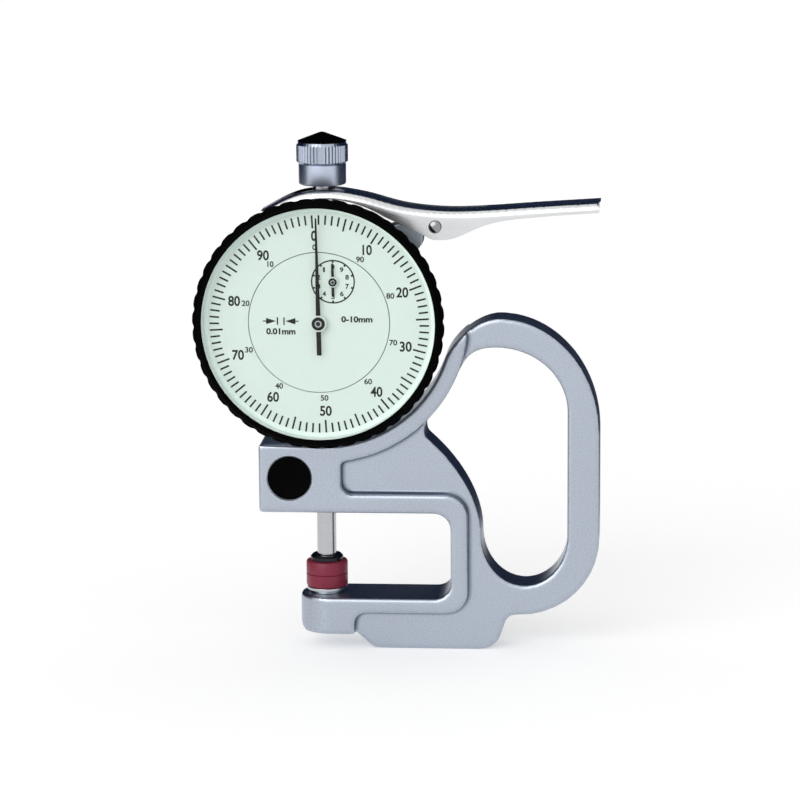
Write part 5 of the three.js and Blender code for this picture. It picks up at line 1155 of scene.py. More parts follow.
    def make_frame(self) -> bpy.types.Object:
        """Makes the casting.

        Returns:
            The finished solid.
        """
        body, web, over = self.half_body, self.half_web, self.overrun
        casting = cut_plate("frame_casting", self.web_outline(), -web, web)
        loop = cut_plate("loop", self.loop_outline(), -web - over, web + over)
        combine(casting, loop, "DIFFERENCE")
        strut = cut_plate("strut", self.strut_outline(), -body, body)
        whole = cut_plate("whole", self.web_outline(), -body - over, body + over)
        combine(strut, whole, "INTERSECT")
        ribs = cut_plate("ribs", self.body_outline(), -body, body)
        combine(ribs, self.endmost(), "DIFFERENCE")
        combine(casting, ribs, "UNION")
        combine(casting, strut, "UNION")
        soften(casting, self.voxel, self.smoothing)
        combine(casting, self.cotter_cutter(), "DIFFERENCE")
        for bore in (self.stem_bore, self.guide_bore, self.anvil_bore):
            combine(casting, self.bore_cutter(*bore), "DIFFERENCE")
        shade(casting)
        return casting

    def make_cotter(self, side: int) -> bpy.types.Object:
        """Makes one half of the clamp that closes the cotter hole.

        Args:
            side: 1 for the front half, -1 for the rear half.

        Returns:
            The finished piece.
        """
        radius, face, split = self.cotter_radius, self.half_body - self.disc_inset, self.disc_split
        soft, dish = self.disc_rounding, self.disc_dish
        midway = soft * MIDWAY_SHARE
        profile = [(0, split), (radius, split), (radius, face - soft)]
        profile += [(radius - midway, face - midway), (radius - soft, face)]
        profile += [(radius - 2 * soft, face - dish), (0, face - dish)]
        if side < 0:
            profile = [(r, -d) for r, d in profile]
        name = "clamp_disc_front" if side > 0 else "clamp_disc_rear"
        place = (SPINDLE_X + self.cotter_place[0], 0.0, self.cotter_place[1])
        disc = turn_piece(name, profile, Axis.DEPTH, place)
        return combine(disc, self.bore_cutter(*self.stem_space), "DIFFERENCE")

    def dress(self, cast: bpy.types.Material, black: bpy.types.Material) -> None:
        """Makes the casting and its clamp and gives them their finish.

        Args:
            cast: The finish of the casting.
            black: The finish of the clamp discs.
        """
        finish_piece(self.make_frame(), Body.GAUGE, cast, ["frame"])
        front, rear = self.make_cotter(1), self.make_cotter(-1)
        finish_piece(front, Body.GAUGE, black, ["clamp_cotter_front"])
        finish_piece(rear, Body.GAUGE, black, ["clamp_cotter_rear"])


@dataclass(frozen=True)
class NodeSize:
    """The room that a CAD node takes, in millimetres."""

    low: Point3
    high: Point3

    @classmethod
    def of(cls, node: str) -> "NodeSize":
        """Measures a CAD node."""
        low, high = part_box(node)
        return cls(tuple(v / MM for v in low), tuple(v / MM for v in high))

    @property
    def radius(self) -> float:
        """Half the node's width."""
        return (self.high[0] - self.low[0]) / 2

    @property
    def bottom(self) -> float:
        """The lowest height."""
        return self.low[2]

    @property
    def top(self) -> float:
        """The greatest height."""
        return self.high[2]

    @property
    def back(self) -> float:
        """The depth of the back, growing forward."""
        return -self.high[1]

    @property
    def front(self) -> float:
        """The depth of the front."""
        return -self.low[1]


def refine_node(node: str, name: str, width: float = 0.12, segments: int = 2) -> bpy.types.Object:
    """Makes a clean copy of a CAD node with broken edges, smooth round faces and true flat ones.

    Args:
        node: The CAD node to copy.
        name: The name of the new piece.
        width: The width of the broken edges.
        segments: The steps across a broken edge.

    Returns:
        The copy.
    """
    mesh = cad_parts[node].data.copy()
    mesh.name = name
    piece = bpy.data.objects.new(name, mesh)
    bpy.context.scene.collection.objects.link(piece)
    with editing(piece):
        bpy.ops.mesh.remove_doubles(threshold=WELD_MM * MM)
        bpy.ops.mesh.dissolve_limited(angle_limit=FLAT_ANGLE)
        bpy.ops.mesh.normals_make_consistent(inside=False)
    if width > 0:
        round_edges(piece, width, segments)
    shade(piece)
    pick_only(piece)
    bpy.ops.object.modifier_add(type="WEIGHTED_NORMAL")
    piece.modifiers[-1].keep_sharp = True
    bpy.ops.object.modifier_apply(modifier=piece.modifiers[-1].name)
    return piece


@dataclass
class MeasuringSpindle:
    """The spindle with its collar and contact, and the anvil below it."""

    edge: float = 0.12
    chamfer: float = 0.5
    collar_chamfer: float = 0.45
    stud_radius: float = 1.2
    seat_gap: float = 0.06

    def make_ceramic(self, node: str, name: str, up: bool) -> bpy.types.Object:
        """Makes one of the two ceramic pads.

        Args:
            node: The CAD node of the pad.
            name: The name of the piece.
            up: Whether the chamfer is at the top.

        Returns:
            The pad.
        """
        size = NodeSize.of(node)
        radius, back, face = size.radius, size.top, size.bottom
        sign = 1
        if not up:
            back, face, sign = face, back, -1
        midway = MIDWAY_SHARE * self.chamfer
        profile = [(0, face), (radius - self.edge, face), (radius, face + sign * self.edge)]
        profile += [(radius, back - sign * self.chamfer), (radius - midway, back - sign * midway)]
        profile += [(radius - self.chamfer, back), (0, back)]
        return turn_piece(name, profile, Axis.HEIGHT)

    def make_holder(self) -> bpy.types.Object:
        """Makes the collar that holds the moving pad."""
        size, spindle = NodeSize.of("contact_holder"), NodeSize.of("spindle")
        radius, low, bevel = size.radius, size.bottom, self.collar_chamfer
        top = spindle.bottom - self.seat_gap
        profile = [(0, low), (radius - self.edge, low), (radius, low + self.edge)]
        profile += [(radius, top - bevel), (radius - bevel, top), (self.stud_radius, top)]
        profile += [(self.stud_radius, size.top), (0, size.top)]
        return turn_piece("contact_collar", profile, Axis.HEIGHT)

    def dress(
        self, steel: bpy.types.Material, dark: bpy.types.Material, ceramic: bpy.types.Material
    ) -> None:
        """Makes the pieces between the arm and the stem and finishes them.

        Args:
            steel: The finish of ground steel.
            dark: The finish of the collar.
            ceramic: The finish of the pads.
        """
        moving = self.make_ceramic("contact_ceramic", "contact_pad", True)
        fixed = self.make_ceramic("anvil_ceramic", "anvil_pad", False)
        finish_piece(moving, Body.SPINDLE, ceramic, ["contact_ceramic"])
        finish_piece(fixed, Body.GAUGE, ceramic, ["anvil_ceramic"])
        finish_piece(self.make_holder(), Body.SPINDLE, dark, ["contact_holder"])
        anvil = refine_node("anvil_holder", "anvil_seat")
        finish_piece(anvil, Body.GAUGE, steel, ["anvil_holder"])
        rod = refine_node("spindle", "spindle_rod", 0.06, 1)
        finish_piece(rod, Body.SPINDLE, steel, ["spindle"])


@dataclass
class SpindleCap:
    """The sleeve, the knurled knob and the black cone on top of the spindle."""

    knurls: int = 46
    knurl_depth: float = 0.22
    knurl_angle: float = math.radians(20)
    knurl_margin: Point2 = (0.05, 0.01)
    knob_inset: float = 0.22
    knob_foot: float = 0.1
    knob_shoulder: Point2 = (0.15, 0.12)
    head_share: float = 1.6
    tenon_step: float = 0.59
    seat_gap: float = 0.02
    chamfer: float = 0.5
    edge: float = 0.12
    steps_per_knurl: int = 6
    cone_shares: Sequence[Point2] = ((1, 0.08), (0.72, 0.36), (0.4, 0.66), (0.12, 0.94), (0, 1))

    def make_sleeve(self) -> bpy.types.Object:
        """Makes the smooth sleeve below the knob."""
        size = NodeSize.of("cap_sleeve")
        bore = NodeSize.of("spindle").radius - self.tenon_step
        low, top, radius, bevel = size.bottom, size.top, size.radius, self.chamfer
        midway = MIDWAY_SHARE * bevel
        profile = [(bore, low), (radius - bevel, low), (radius - midway, low + midway)]
        profile += [(radius, low + bevel), (radius, top - self.edge), (radius - self.edge, top)]
        profile += [(bore, top), (bore, low)]
        return turn_piece("cap_sleeve_turned", profile, Axis.HEIGHT)

    def make_knob(self) -> bpy.types.Object:
        """Makes the knob and presses the knurl into its rim."""
        size = NodeSize.of("cap_knob")
        low, top, radius, bevel = size.bottom, size.top, size.radius - self.knob_inset, self.chamfer
        start, end = low + bevel, top - self.head_share * bevel
        foot, (inward, upward) = self.knob_foot, self.knob_shoulder
        near, beyond = self.knurl_margin
        profile = [(0, low), (radius - bevel, low), (radius - foot, start - foot)]
        profile += [(radius, start), (radius, end), (radius - inward, end + upward)]
        profile += [(radius - bevel, top), (0, top)]
        knob = turn_piece(
            "cap_knob_knurled", profile, Axis.HEIGHT, steps=self.knurls * self.steps_per_knurl
        )
        for vertex in knob.data.vertices:
            x, y = vertex.co.x / MM - SPINDLE_X, vertex.co.y / MM
            reach, height = math.hypot(x, y), vertex.co.z / MM
            if reach > radius - near and start - beyond < height < end + beyond:
                phase = math.atan2(y, x) * self.knurls / FULL_TURN % 1
                share = 1 - self.knurl_depth * (1 - abs(2 * phase - 1)) / radius
                vertex.co.x = (SPINDLE_X + x * share) * MM
                vertex.co.y = y * share * MM
        shade(knob, self.knurl_angle)
        return knob

    def make_cone(self) -> bpy.types.Object:
        """Makes the black cone with its softly rounded point."""
        size = NodeSize.of("cap_insert")
        knob_top = NodeSize.of("cap_knob").top
        radius, height = size.radius, size.top - knob_top
        profile = [(0, knob_top + self.seat_gap), (radius, knob_top + self.seat_gap)]
        profile += [(radius * r, knob_top + height * h) for r, h in self.cone_shares]
        return turn_piece("cap_cone", profile, Axis.HEIGHT)

    def dress(
        self, steel: bpy.types.Material, satin: bpy.types.Material, black: bpy.types.Material
    ) -> None:
        """Makes the cap's pieces and finishes them.

        Args:
            steel: The finish of the knob.
            satin: The finish of the sleeve.
            black: The finish of the cone.
        """
        finish_piece(self.make_sleeve(), Body.SPINDLE, satin, ["cap_sleeve"])
        finish_piece(self.make_knob(), Body.SPINDLE, steel, ["cap_knob"])
        finish_piece(self.make_cone(), Body.SPINDLE, black, ["cap_insert"])


@dataclass
class IndicatorCase:
    """The indicator's case with its cover, stem, bushes and clamp screw."""

    cover_screws: int = 4
    screw_edge: float = 0.12

    def dress(self, steel: bpy.types.Material, cast: bpy.types.Material) -> None:
        """Copies the case's pieces with broken edges and finishes them.

        Args:
            steel: The finish of the turned pieces and the screws.
            cast: The finish of the case, its cover and the lever's bracket.
        """
        for node, name, slot, material, width in (
            ("case", "indicator_case", Slot.ALUMINIUM, cast, 0.2),
            ("back_cover", "cover_plate", Slot.ALUMINIUM, cast, 0.3),
            ("stem", "stem_tube", Slot.STEEL, steel, 0.1),
            ("upper_bush", "upper_guide_bush", Slot.STEEL, steel, 0.2),
            ("stem_bush", "lower_guide_bush", Slot.BRASS, steel, 0.05),
            ("clamp_screw", "clamp_socket_screw", Slot.STEEL, steel, 0.12),
            ("lever_bracket", "lever_lug", Slot.ALUMINIUM, cast, 0.25),
            ("lever_bracket_screw_front", "lug_screw_front", Slot.STEEL, steel, 0.1),
            ("lever_bracket_screw_rear", "lug_screw_rear", Slot.STEEL, steel, 0.1),
        ):
            finish_piece(refine_node(node, name, width), Body.GAUGE, material, [node])
        for number in range(1, self.cover_screws + 1):
            node = f"back_cover_screw_{number}"
            screw = refine_node(node, f"cover_screw_{number}", self.screw_edge)
            finish_piece(screw, Body.GAUGE, steel, [node])


@dataclass
class Bezel:
    """The scalloped ring that turns round the dial, with its crystal."""

    body_radius: float = 28.0
    band_radius: float = 28.7
    lip_radius: float = 26.6
    bore_radius: float = 27.1
    seat_radius: float = 24.49
    soft: float = 0.22
    shoulder: Point2 = (0.05, 0.25)
    face_edge: Point2 = (0.25, 0.2)
    face_inset: float = 0.6
    lip_edge: float = 0.2
    band_start: float = 0.1
    back: float = 9.8
    front: float = 15.6
    waist_radius: float = 27.5
    band_back: float = 12.0
    band_middle: float = 13.3
    band_front: float = 14.8
    ledge: float = 1.2
    lip: float = 0.7
    scallops: int = 44
    scallop_depth: float = 0.36
    steps_per_scallop: int = 8
    phase: float = math.radians(1.4)
    crystal_back: float = 13.9
    crystal_edge: float = 14.8
    crystal_crown: float = 1.0
    crystal_gap: float = 0.1
    crystal_steps: int = 12

    @property
    def centre(self) -> Point3:
        """The middle of the dial."""
        return (SPINDLE_X, 0.0, DIAL_Z)

    def make_ring(self) -> bpy.types.Object:
        """Makes the bezel and presses the scallops into its band."""
        body, band, waist, soft = self.body_radius, self.band_radius, self.waist_radius, self.soft
        face, seat, lip = NodeSize.of("bezel").front, self.seat_radius, self.lip_radius
        profile = [(seat, self.back), (waist - soft, self.back), (waist, self.back + soft)]
        profile += [(waist + soft, self.band_back), (body + soft, self.band_middle)]
        profile += [(band, self.band_middle + 2 * soft), (band, self.band_front - soft)]
        profile += [(band - soft, self.band_front)]
        profile += [(body - self.shoulder[0], self.band_front + self.shoulder[1])]
        profile += [(body - self.face_edge[0], self.front - self.face_edge[1])]
        profile += [(body - self.face_inset, face), (lip + self.lip_edge, face)]
        profile += [(lip, face - self.lip_edge), (lip, self.front - self.lip)]
        profile += [(self.bore_radius, self.front - self.lip)]
        profile += [(self.bore_radius, self.back + self.ledge), (seat, self.back + self.ledge)]
        profile += [(seat, self.back)]
        ring = turn_piece(
            "bezel_ring_scalloped", profile, Axis.DEPTH, self.centre,
            steps=self.scallops * self.steps_per_scallop,
        )
        for vertex in ring.data.vertices:
            x, z = vertex.co.x / MM - SPINDLE_X, vertex.co.z / MM - DIAL_Z
            reach = math.hypot(x, z)
            if reach > body + self.band_start:
                wave = (math.cos((math.atan2(z, x) - self.phase) * self.scallops) + 1) / 2
                share = 1 - self.scallop_depth * wave**3 * (reach - body) / (band - body) / reach
                vertex.co.x = (SPINDLE_X + x * share) * MM
                vertex.co.z = (DIAL_Z + z * share) * MM
        shade(ring)
        ring.visible_shadow = False
        return ring

    def make_crystal(self) -> bpy.types.Object:
        """Makes the slightly domed crystal."""
        radius, rim = self.bore_radius - self.crystal_gap, self.lip_radius - self.crystal_gap
        profile = [(0, self.crystal_back), (radius, self.crystal_back), (radius, self.crystal_edge)]
        for index in range(self.crystal_steps + 1):
            share = index / self.crystal_steps
            rise = self.crystal_crown * math.sqrt(1 - (1 - share) ** 2)
            profile.append((rim * (1 - share), self.crystal_edge + rise))
        crystal = turn_piece("watch_crystal", profile, Axis.DEPTH, self.centre, LARGE_STEPS)
        crystal.visible_shadow = False
        return crystal

    def dress(
        self, black: bpy.types.Material, glass: bpy.types.Material, pale: bpy.types.Material
    ) -> None:
        """Makes the bezel and its crystal and finishes them.

        Args:
            black: The finish of the bezel.
            glass: The material of the crystal.
            pale: The finish of the crystal's seal, the same pale painted glow as the dial's rim
                band.
        """
        finish_piece(self.make_ring(), Body.BEZEL, black, ["bezel"])
        finish_piece(self.make_crystal(), Body.BEZEL, glass, ["crystal"])
        seal = refine_node("crystal_gasket", "crystal_seal", 0)
        finish_piece(seal, Body.BEZEL, pale, ["crystal_gasket"])


@dataclass
class DialFace:
    """The turning dial ring, the fixed inner dial and their printing."""

    centre: Point3 = (SPINDLE_X, 0.0, DIAL_Z)
    ring_turn: float = math.radians(3.2)
    ring_inner: float = 16.18
    ring_outer: float = 27.0
    inner_radius: float = 16.0
    rim_radius: float = 25.4
    rim_gap: float = 0.05
    disc_edge: float = 0.04
    ink_height: float = 0.02
    divisions: int = 100
    numbers: int = 10
    tick_width: float = 0.4
    tick_outer: float = 24.95
    tick_short: float = 22.8
    tick_long: float = 22.05
    tick_shift: Point2 = (0.0, -0.45)
    large_radius: float = 20.15
    large_height: float = 2.36
    large_shape: float = 0.61
    large_shift: Point2 = (0.2, -0.25)
    small_radius: float = 17.35
    small_height: float = 1.32
    small_shape: float = 0.72
    small_shift: Point2 = (0.1, -0.05)
    number_weight: float = 0.026
    digit_weight: float = 0.03
    text_weight: float = 0.04
    end_share: float = 0.12
    one_share: float = 0.4
    counter_place: Point2 = (3.3, 9.44)
    counter_radius: float = 5.0
    counter_digits: float = 3.4
    counter_height: float = 1.15
    counter_shape: float = 0.8
    counter_line: float = 0.32
    counter_tick: Point2 = (0.42, 0.6)
    counter_tick_inset: float = 0.4
    unit_place: Point2 = (-8.7, -2.0)
    unit_size: Point2 = (6.7, 1.45)
    range_place: Point2 = (8.65, 0.85)
    range_size: Point2 = (7.1, 1.42)
    mark_place: Point2 = (-8.7, 0.35)
    mark_half: float = 4.08
    mark_gap: float = 0.75
    bar_width: float = 0.3
    bar_height: float = 1.75
    line_width: float = 0.25
    head_gap: float = 0.3
    head_length: float = 2.3
    head_height: float = 1.45

    def make_disc(self, node: str, name: str, inner: float, outer: float) -> bpy.types.Object:
        """Makes the dial ring or the inner dial.

        Args:
            node: The CAD node that gives the depth.
            name: The name of the piece.
            inner: The inner radius, or zero.
            outer: The outer radius.

        Returns:
            The disc.
        """
        size, edge = NodeSize.of(node), self.disc_edge
        back, front = size.back, size.front
        profile = [(inner, back), (outer, back), (outer, front - edge)]
        profile += [(outer - edge, front), (inner, front)]
        if inner > 0:
            profile[-1:] = [(inner + edge, front), (inner, front - edge), (inner, back)]
        return turn_piece(name, profile, Axis.DEPTH, self.centre, LARGE_STEPS)

    def print_bar(
        self, centre: Point2, size: Point2, turn: float, depth: float
    ) -> bpy.types.Object:
        """Prints a straight bar of ink.

        Args:
            centre: Its middle, from the dial's centre.
            size: Its width and height.
            turn: Its turn, clockwise seen from the front, in radians.
            depth: The depth of the surface that it is printed on.

        Returns:
            The bar.
        """
        height = self.ink_height
        bpy.ops.object.select_all(action="DESELECT")
        bpy.ops.mesh.primitive_cube_add(
            size=MM, scale=(size[0], height, size[1]),
            location=self.place(centre, depth + height / 2), rotation=(0.0, turn, 0.0),
        )
        piece = bpy.context.object
        apply_place(piece)
        return piece

    def place(self, centre: Point2, depth: float) -> Vector:
        """Gives the place of a point of the dial in metres."""
        return Vector((SPINDLE_X + centre[0], -depth, DIAL_Z + centre[1])) * MM

    def print_text(
        self, text: str, centre: Point2, size: Point2, depth: float, weight: float
    ) -> bpy.types.Object:
        """Prints a word or a number at an exact size.

        Args:
            text: What is printed.
            centre: Its middle, from the dial's centre.
            size: Its width and height.
            depth: The depth of the surface that it is printed on.
            weight: How much the strokes are thickened.

        Returns:
            The lettering.
        """
        bpy.ops.object.select_all(action="DESELECT")
        bpy.ops.object.text_add()
        piece = bpy.context.object
        piece.data.body = text
        piece.data.offset = weight
        piece.data.resolution_u = 6
        bpy.ops.object.convert(target="MESH")
        piece = bpy.context.object
        xs = [v.co.x for v in piece.data.vertices]
        ys = [v.co.y for v in piece.data.vertices]
        middle = Vector(((min(xs) + max(xs)) / 2, (min(ys) + max(ys)) / 2, 0))
        fit = Matrix.Diagonal(
            (size[0] * MM / (max(xs) - min(xs)), size[1] * MM / (max(ys) - min(ys)), 1, 1)
        )
        upright = Matrix.Rotation(QUARTER_TURN, 4, "X")
        spot = Matrix.Translation(self.place(centre, depth + self.ink_height))
        piece.data.transform(spot @ upright @ fit @ Matrix.Translation(-middle))
        return piece

    def number_width(self, text: str, height: float, shape: float) -> float:
        """Gives the width of a number from the height and shape of its digits."""
        return height * shape * (len(text) - self.end_share - self.one_share * text.count("1"))

    def around(self, share: float, radius: float, turn: float = 0.0) -> Point2:
        """Gives the place at a share of the turn, clockwise from the top."""
        angle = FULL_TURN * share - turn
        return radius * math.sin(angle), radius * math.cos(angle)

    def print_ring(self, depth: float) -> bpy.types.Object:
        """Prints the hundred divisions and the two rows of numbers.

        Args:
            depth: The depth of the ring's face.

        Returns:
            The printing.
        """
        ink = []
        for length, wanted in (
            (self.tick_short, lambda i: i % 5 != 0),
            (self.tick_long, lambda i: i % 5 == 0),
        ):
            for index in filter(wanted, range(self.divisions)):
                share = index / self.divisions
                x, z = self.around(share, (self.tick_outer + length) / 2, self.ring_turn)
                middle = (x + self.tick_shift[0], z + self.tick_shift[1])
                size = (self.tick_width, self.tick_outer - length)
                turn = FULL_TURN * share - self.ring_turn
                ink.append(self.print_bar(middle, size, turn, depth))
        large = (self.large_radius, self.large_height, self.large_shape, self.large_shift)
        small = (self.small_radius, self.small_height, self.small_shape, self.small_shift)
        for step in range(self.numbers):
            value = step * self.divisions // self.numbers
            back = (self.divisions - value) % self.divisions
            for text, row in ((str(value), large), (str(back), small)):
                radius, height, shape, shift = row
                x, z = self.around(step / self.numbers, radius, self.ring_turn)
                centre = (x + shift[0], z + shift[1])
                size = (self.number_width(text, height, shape), height)
                ink.append(self.print_text(text, centre, size, depth, self.number_weight))
        return join_pieces("ring_printing", ink)

    def print_rim(self, depth: float) -> bpy.types.Object:
        """Paints the paler band outside the divisions: a painted glow for the crystal rim's
        reflection, which also lifts the bezel's shade.
        """
        inner, outer = self.rim_radius, self.ring_outer - self.rim_gap
        face = depth + self.ink_height
        profile = [(inner, depth), (outer, depth), (outer, face), (inner, face), (inner, depth)]
        return turn_piece("dial_rim_painted_glow", profile, Axis.DEPTH, self.centre, LARGE_STEPS)

    def print_counter(self, depth: float) -> list[bpy.types.Object]:
        """Prints the circle of the revolution counter.

        Args:
            depth: The depth of the inner dial's face.

        Returns:
            The pieces of printing.
        """
        cx, cz = self.counter_place
        middle = (SPINDLE_X + cx, 0.0, DIAL_Z + cz)
        inner, outer = self.counter_radius - self.counter_line, self.counter_radius
        face = depth + self.ink_height
        profile = [(inner, depth), (outer, depth), (outer, face), (inner, face), (inner, depth)]
        ink = [turn_piece("counter_circle", profile, Axis.DEPTH, middle)]
        for digit in range(self.numbers):
            share, text = -digit / self.numbers, str(digit)
            x, z = self.around(share, self.counter_digits)
            width = self.number_width(text, self.counter_height, self.counter_shape)
            size, spot = (width, self.counter_height), (cx + x, cz + z)
            ink.append(self.print_text(text, spot, size, depth, self.digit_weight))
            x, z = self.around(share, self.counter_radius - self.counter_tick_inset)
            spot, turn = (cx + x, cz + z), FULL_TURN * share
            ink.append(self.print_bar(spot, self.counter_tick, turn, depth))
        return ink

    def print_marks(self, depth: float) -> list[bpy.types.Object]:
        """Prints the division mark: two arrows that point at two bars.

        Args:
            depth: The depth of the inner dial's face.

        Returns:
            The pieces of printing.
        """
        cx, cz = self.mark_place
        half = self.head_height / 2
        ink = []
        for side in (-1, 1):
            bar = cx + side * self.mark_gap
            ink.append(self.print_bar((bar, cz), (self.bar_width, self.bar_height), 0, depth))
            tip, end = bar + side * self.head_gap, cx + side * self.mark_half
            base = tip + side * self.head_length
            size = (abs(end - base), self.line_width)
            ink.append(self.print_bar(((base + end) / 2, cz), size, 0, depth))
            head = [(tip, cz), (base, cz + half), (base, cz - half)]
            placed = [(SPINDLE_X + x, DIAL_Z + z) for x, z in head]
            ink.append(cut_plate("arrow_head", placed, depth, depth + self.ink_height))
        return ink

    def print_dial(self, depth: float) -> bpy.types.Object:
        """Prints the counter, the division mark and the two lines of text.

        Args:
            depth: The depth of the inner dial's face.

        Returns:
            The printing.
        """
        ink = self.print_counter(depth) + self.print_marks(depth)
        for text, spot, size in (
            ("0.01mm", self.unit_place, self.unit_size),
            ("0-10mm", self.range_place, self.range_size),
        ):
            ink.append(self.print_text(text, spot, size, depth, self.text_weight))
        return join_pieces("dial_printing", ink)

    def dress(
        self, enamel: bpy.types.Material, ink: bpy.types.Material, pale: bpy.types.Material
    ) -> None:
        """Makes both dials and prints them.

        Args:
            enamel: The finish of the dials.
            ink: The finish of the printing.
            pale: The finish of the band at the rim, a painted glow.
        """
        ring = self.make_disc("dial_ring", "dial_ring_disc", self.ring_inner, self.ring_outer)
        disc = self.make_disc("inner_dial", "inner_dial_disc", 0, self.inner_radius)
        finish_piece(ring, Body.BEZEL, enamel, ["dial_ring"])
        finish_piece(disc, Body.GAUGE, enamel, ["inner_dial"])
        ring_face = NodeSize.of("dial_ring").front
        dial_print = self.print_dial(NodeSize.of("inner_dial").front)
        finish_piece(self.print_ring(ring_face), Body.BEZEL, ink)
        # The outer band is painted pale, standing in for the crystal rim's glow.
        finish_piece(self.print_rim(ring_face), Body.BEZEL, pale)
        finish_piece(dial_print, Body.GAUGE, ink)


@dataclass
class Pointer:
    """A pointer with a black blade and hub, a pale collar painted as the hub's highlight, and a
    bright eye.
    """

    name: str
    node: str
    body: Body
    centre: Point2
    length: float
    tail: float
    root_width: float
    tip_width: float
    tail_width: float
    hub: float
    collar: float
    lean: float = math.radians(0.9)
    soft: float = 0.04
    blade_insets: Point2 = (0.25, 0.3)
    collar_drop: float = 0.2
    eye_shares: Point2 = (0.34, 0.52)

    def make_blade(self, back: float, front: float) -> bpy.types.Object:
        """Makes the blade.

        Args:
            back: The depth of its back.
            front: The depth of its front.

        Returns:
            The blade.
        """
        root, tip, tail = self.root_width / 2, self.tip_width / 2, self.tail_width / 2
        outline = [(-tail, -self.tail), (tail, -self.tail), (root, 0.0)]
        outline += [(tip, self.length), (-tip, self.length), (-root, 0.0)]
        turn = Matrix.Rotation(self.lean, 2)
        middle = Vector((SPINDLE_X + self.centre[0], DIAL_Z + self.centre[1]))
        placed = [tuple(middle + turn @ Vector(point)) for point in outline]
        return cut_plate(f"{self.name}_blade", placed, back, front)

    def dress(
        self, black: bpy.types.Material, pale: bpy.types.Material, steel: bpy.types.Material
    ) -> None:
        """Makes the pointer and finishes it.

        Args:
            black: The finish of the blade and the hub.
            pale: The finish of the collar, a painted highlight.
            steel: The finish of the arbor's end.
        """
        size = NodeSize.of(self.node)
        back, front = size.back, size.front
        place = (SPINDLE_X + self.centre[0], 0.0, DIAL_Z + self.centre[1])
        blade = self.make_blade(back + self.blade_insets[0], front - self.blade_insets[1])
        hub, collar, soft = self.hub, self.collar, self.soft
        rim, cover = front - self.collar_drop, front + soft
        profile = [(0, back + soft), (collar, back + soft), (collar, rim - soft)]
        profile += [(collar - soft, rim), (0, rim)]
        # Painted highlight: a pale ring round the hub stands in for the white glint of the boss's
        # chamfer.
        painted_highlight_skirt = turn_piece(f"{self.name}_collar", profile, Axis.DEPTH, place, 64)
        profile = [(0, rim), (hub, rim), (hub, cover - soft), (hub - soft, cover), (0, cover)]
        boss = turn_piece(f"{self.name}_hub", profile, Axis.DEPTH, place, 64)
        inner, outer = (share * hub for share in self.eye_shares)
        profile = [(inner, rim), (outer, rim), (outer, cover + soft), (inner, cover + soft)]
        eye = turn_piece(f"{self.name}_eye", [*profile, (inner, rim)], Axis.DEPTH, place, 48)
        needle = join_pieces(f"{self.name}_needle", [blade, boss])
        needle.visible_shadow = False
        finish_piece(needle, self.body, black, [self.node])
        finish_piece(painted_highlight_skirt, self.body, pale)
        finish_piece(eye, self.body, steel)


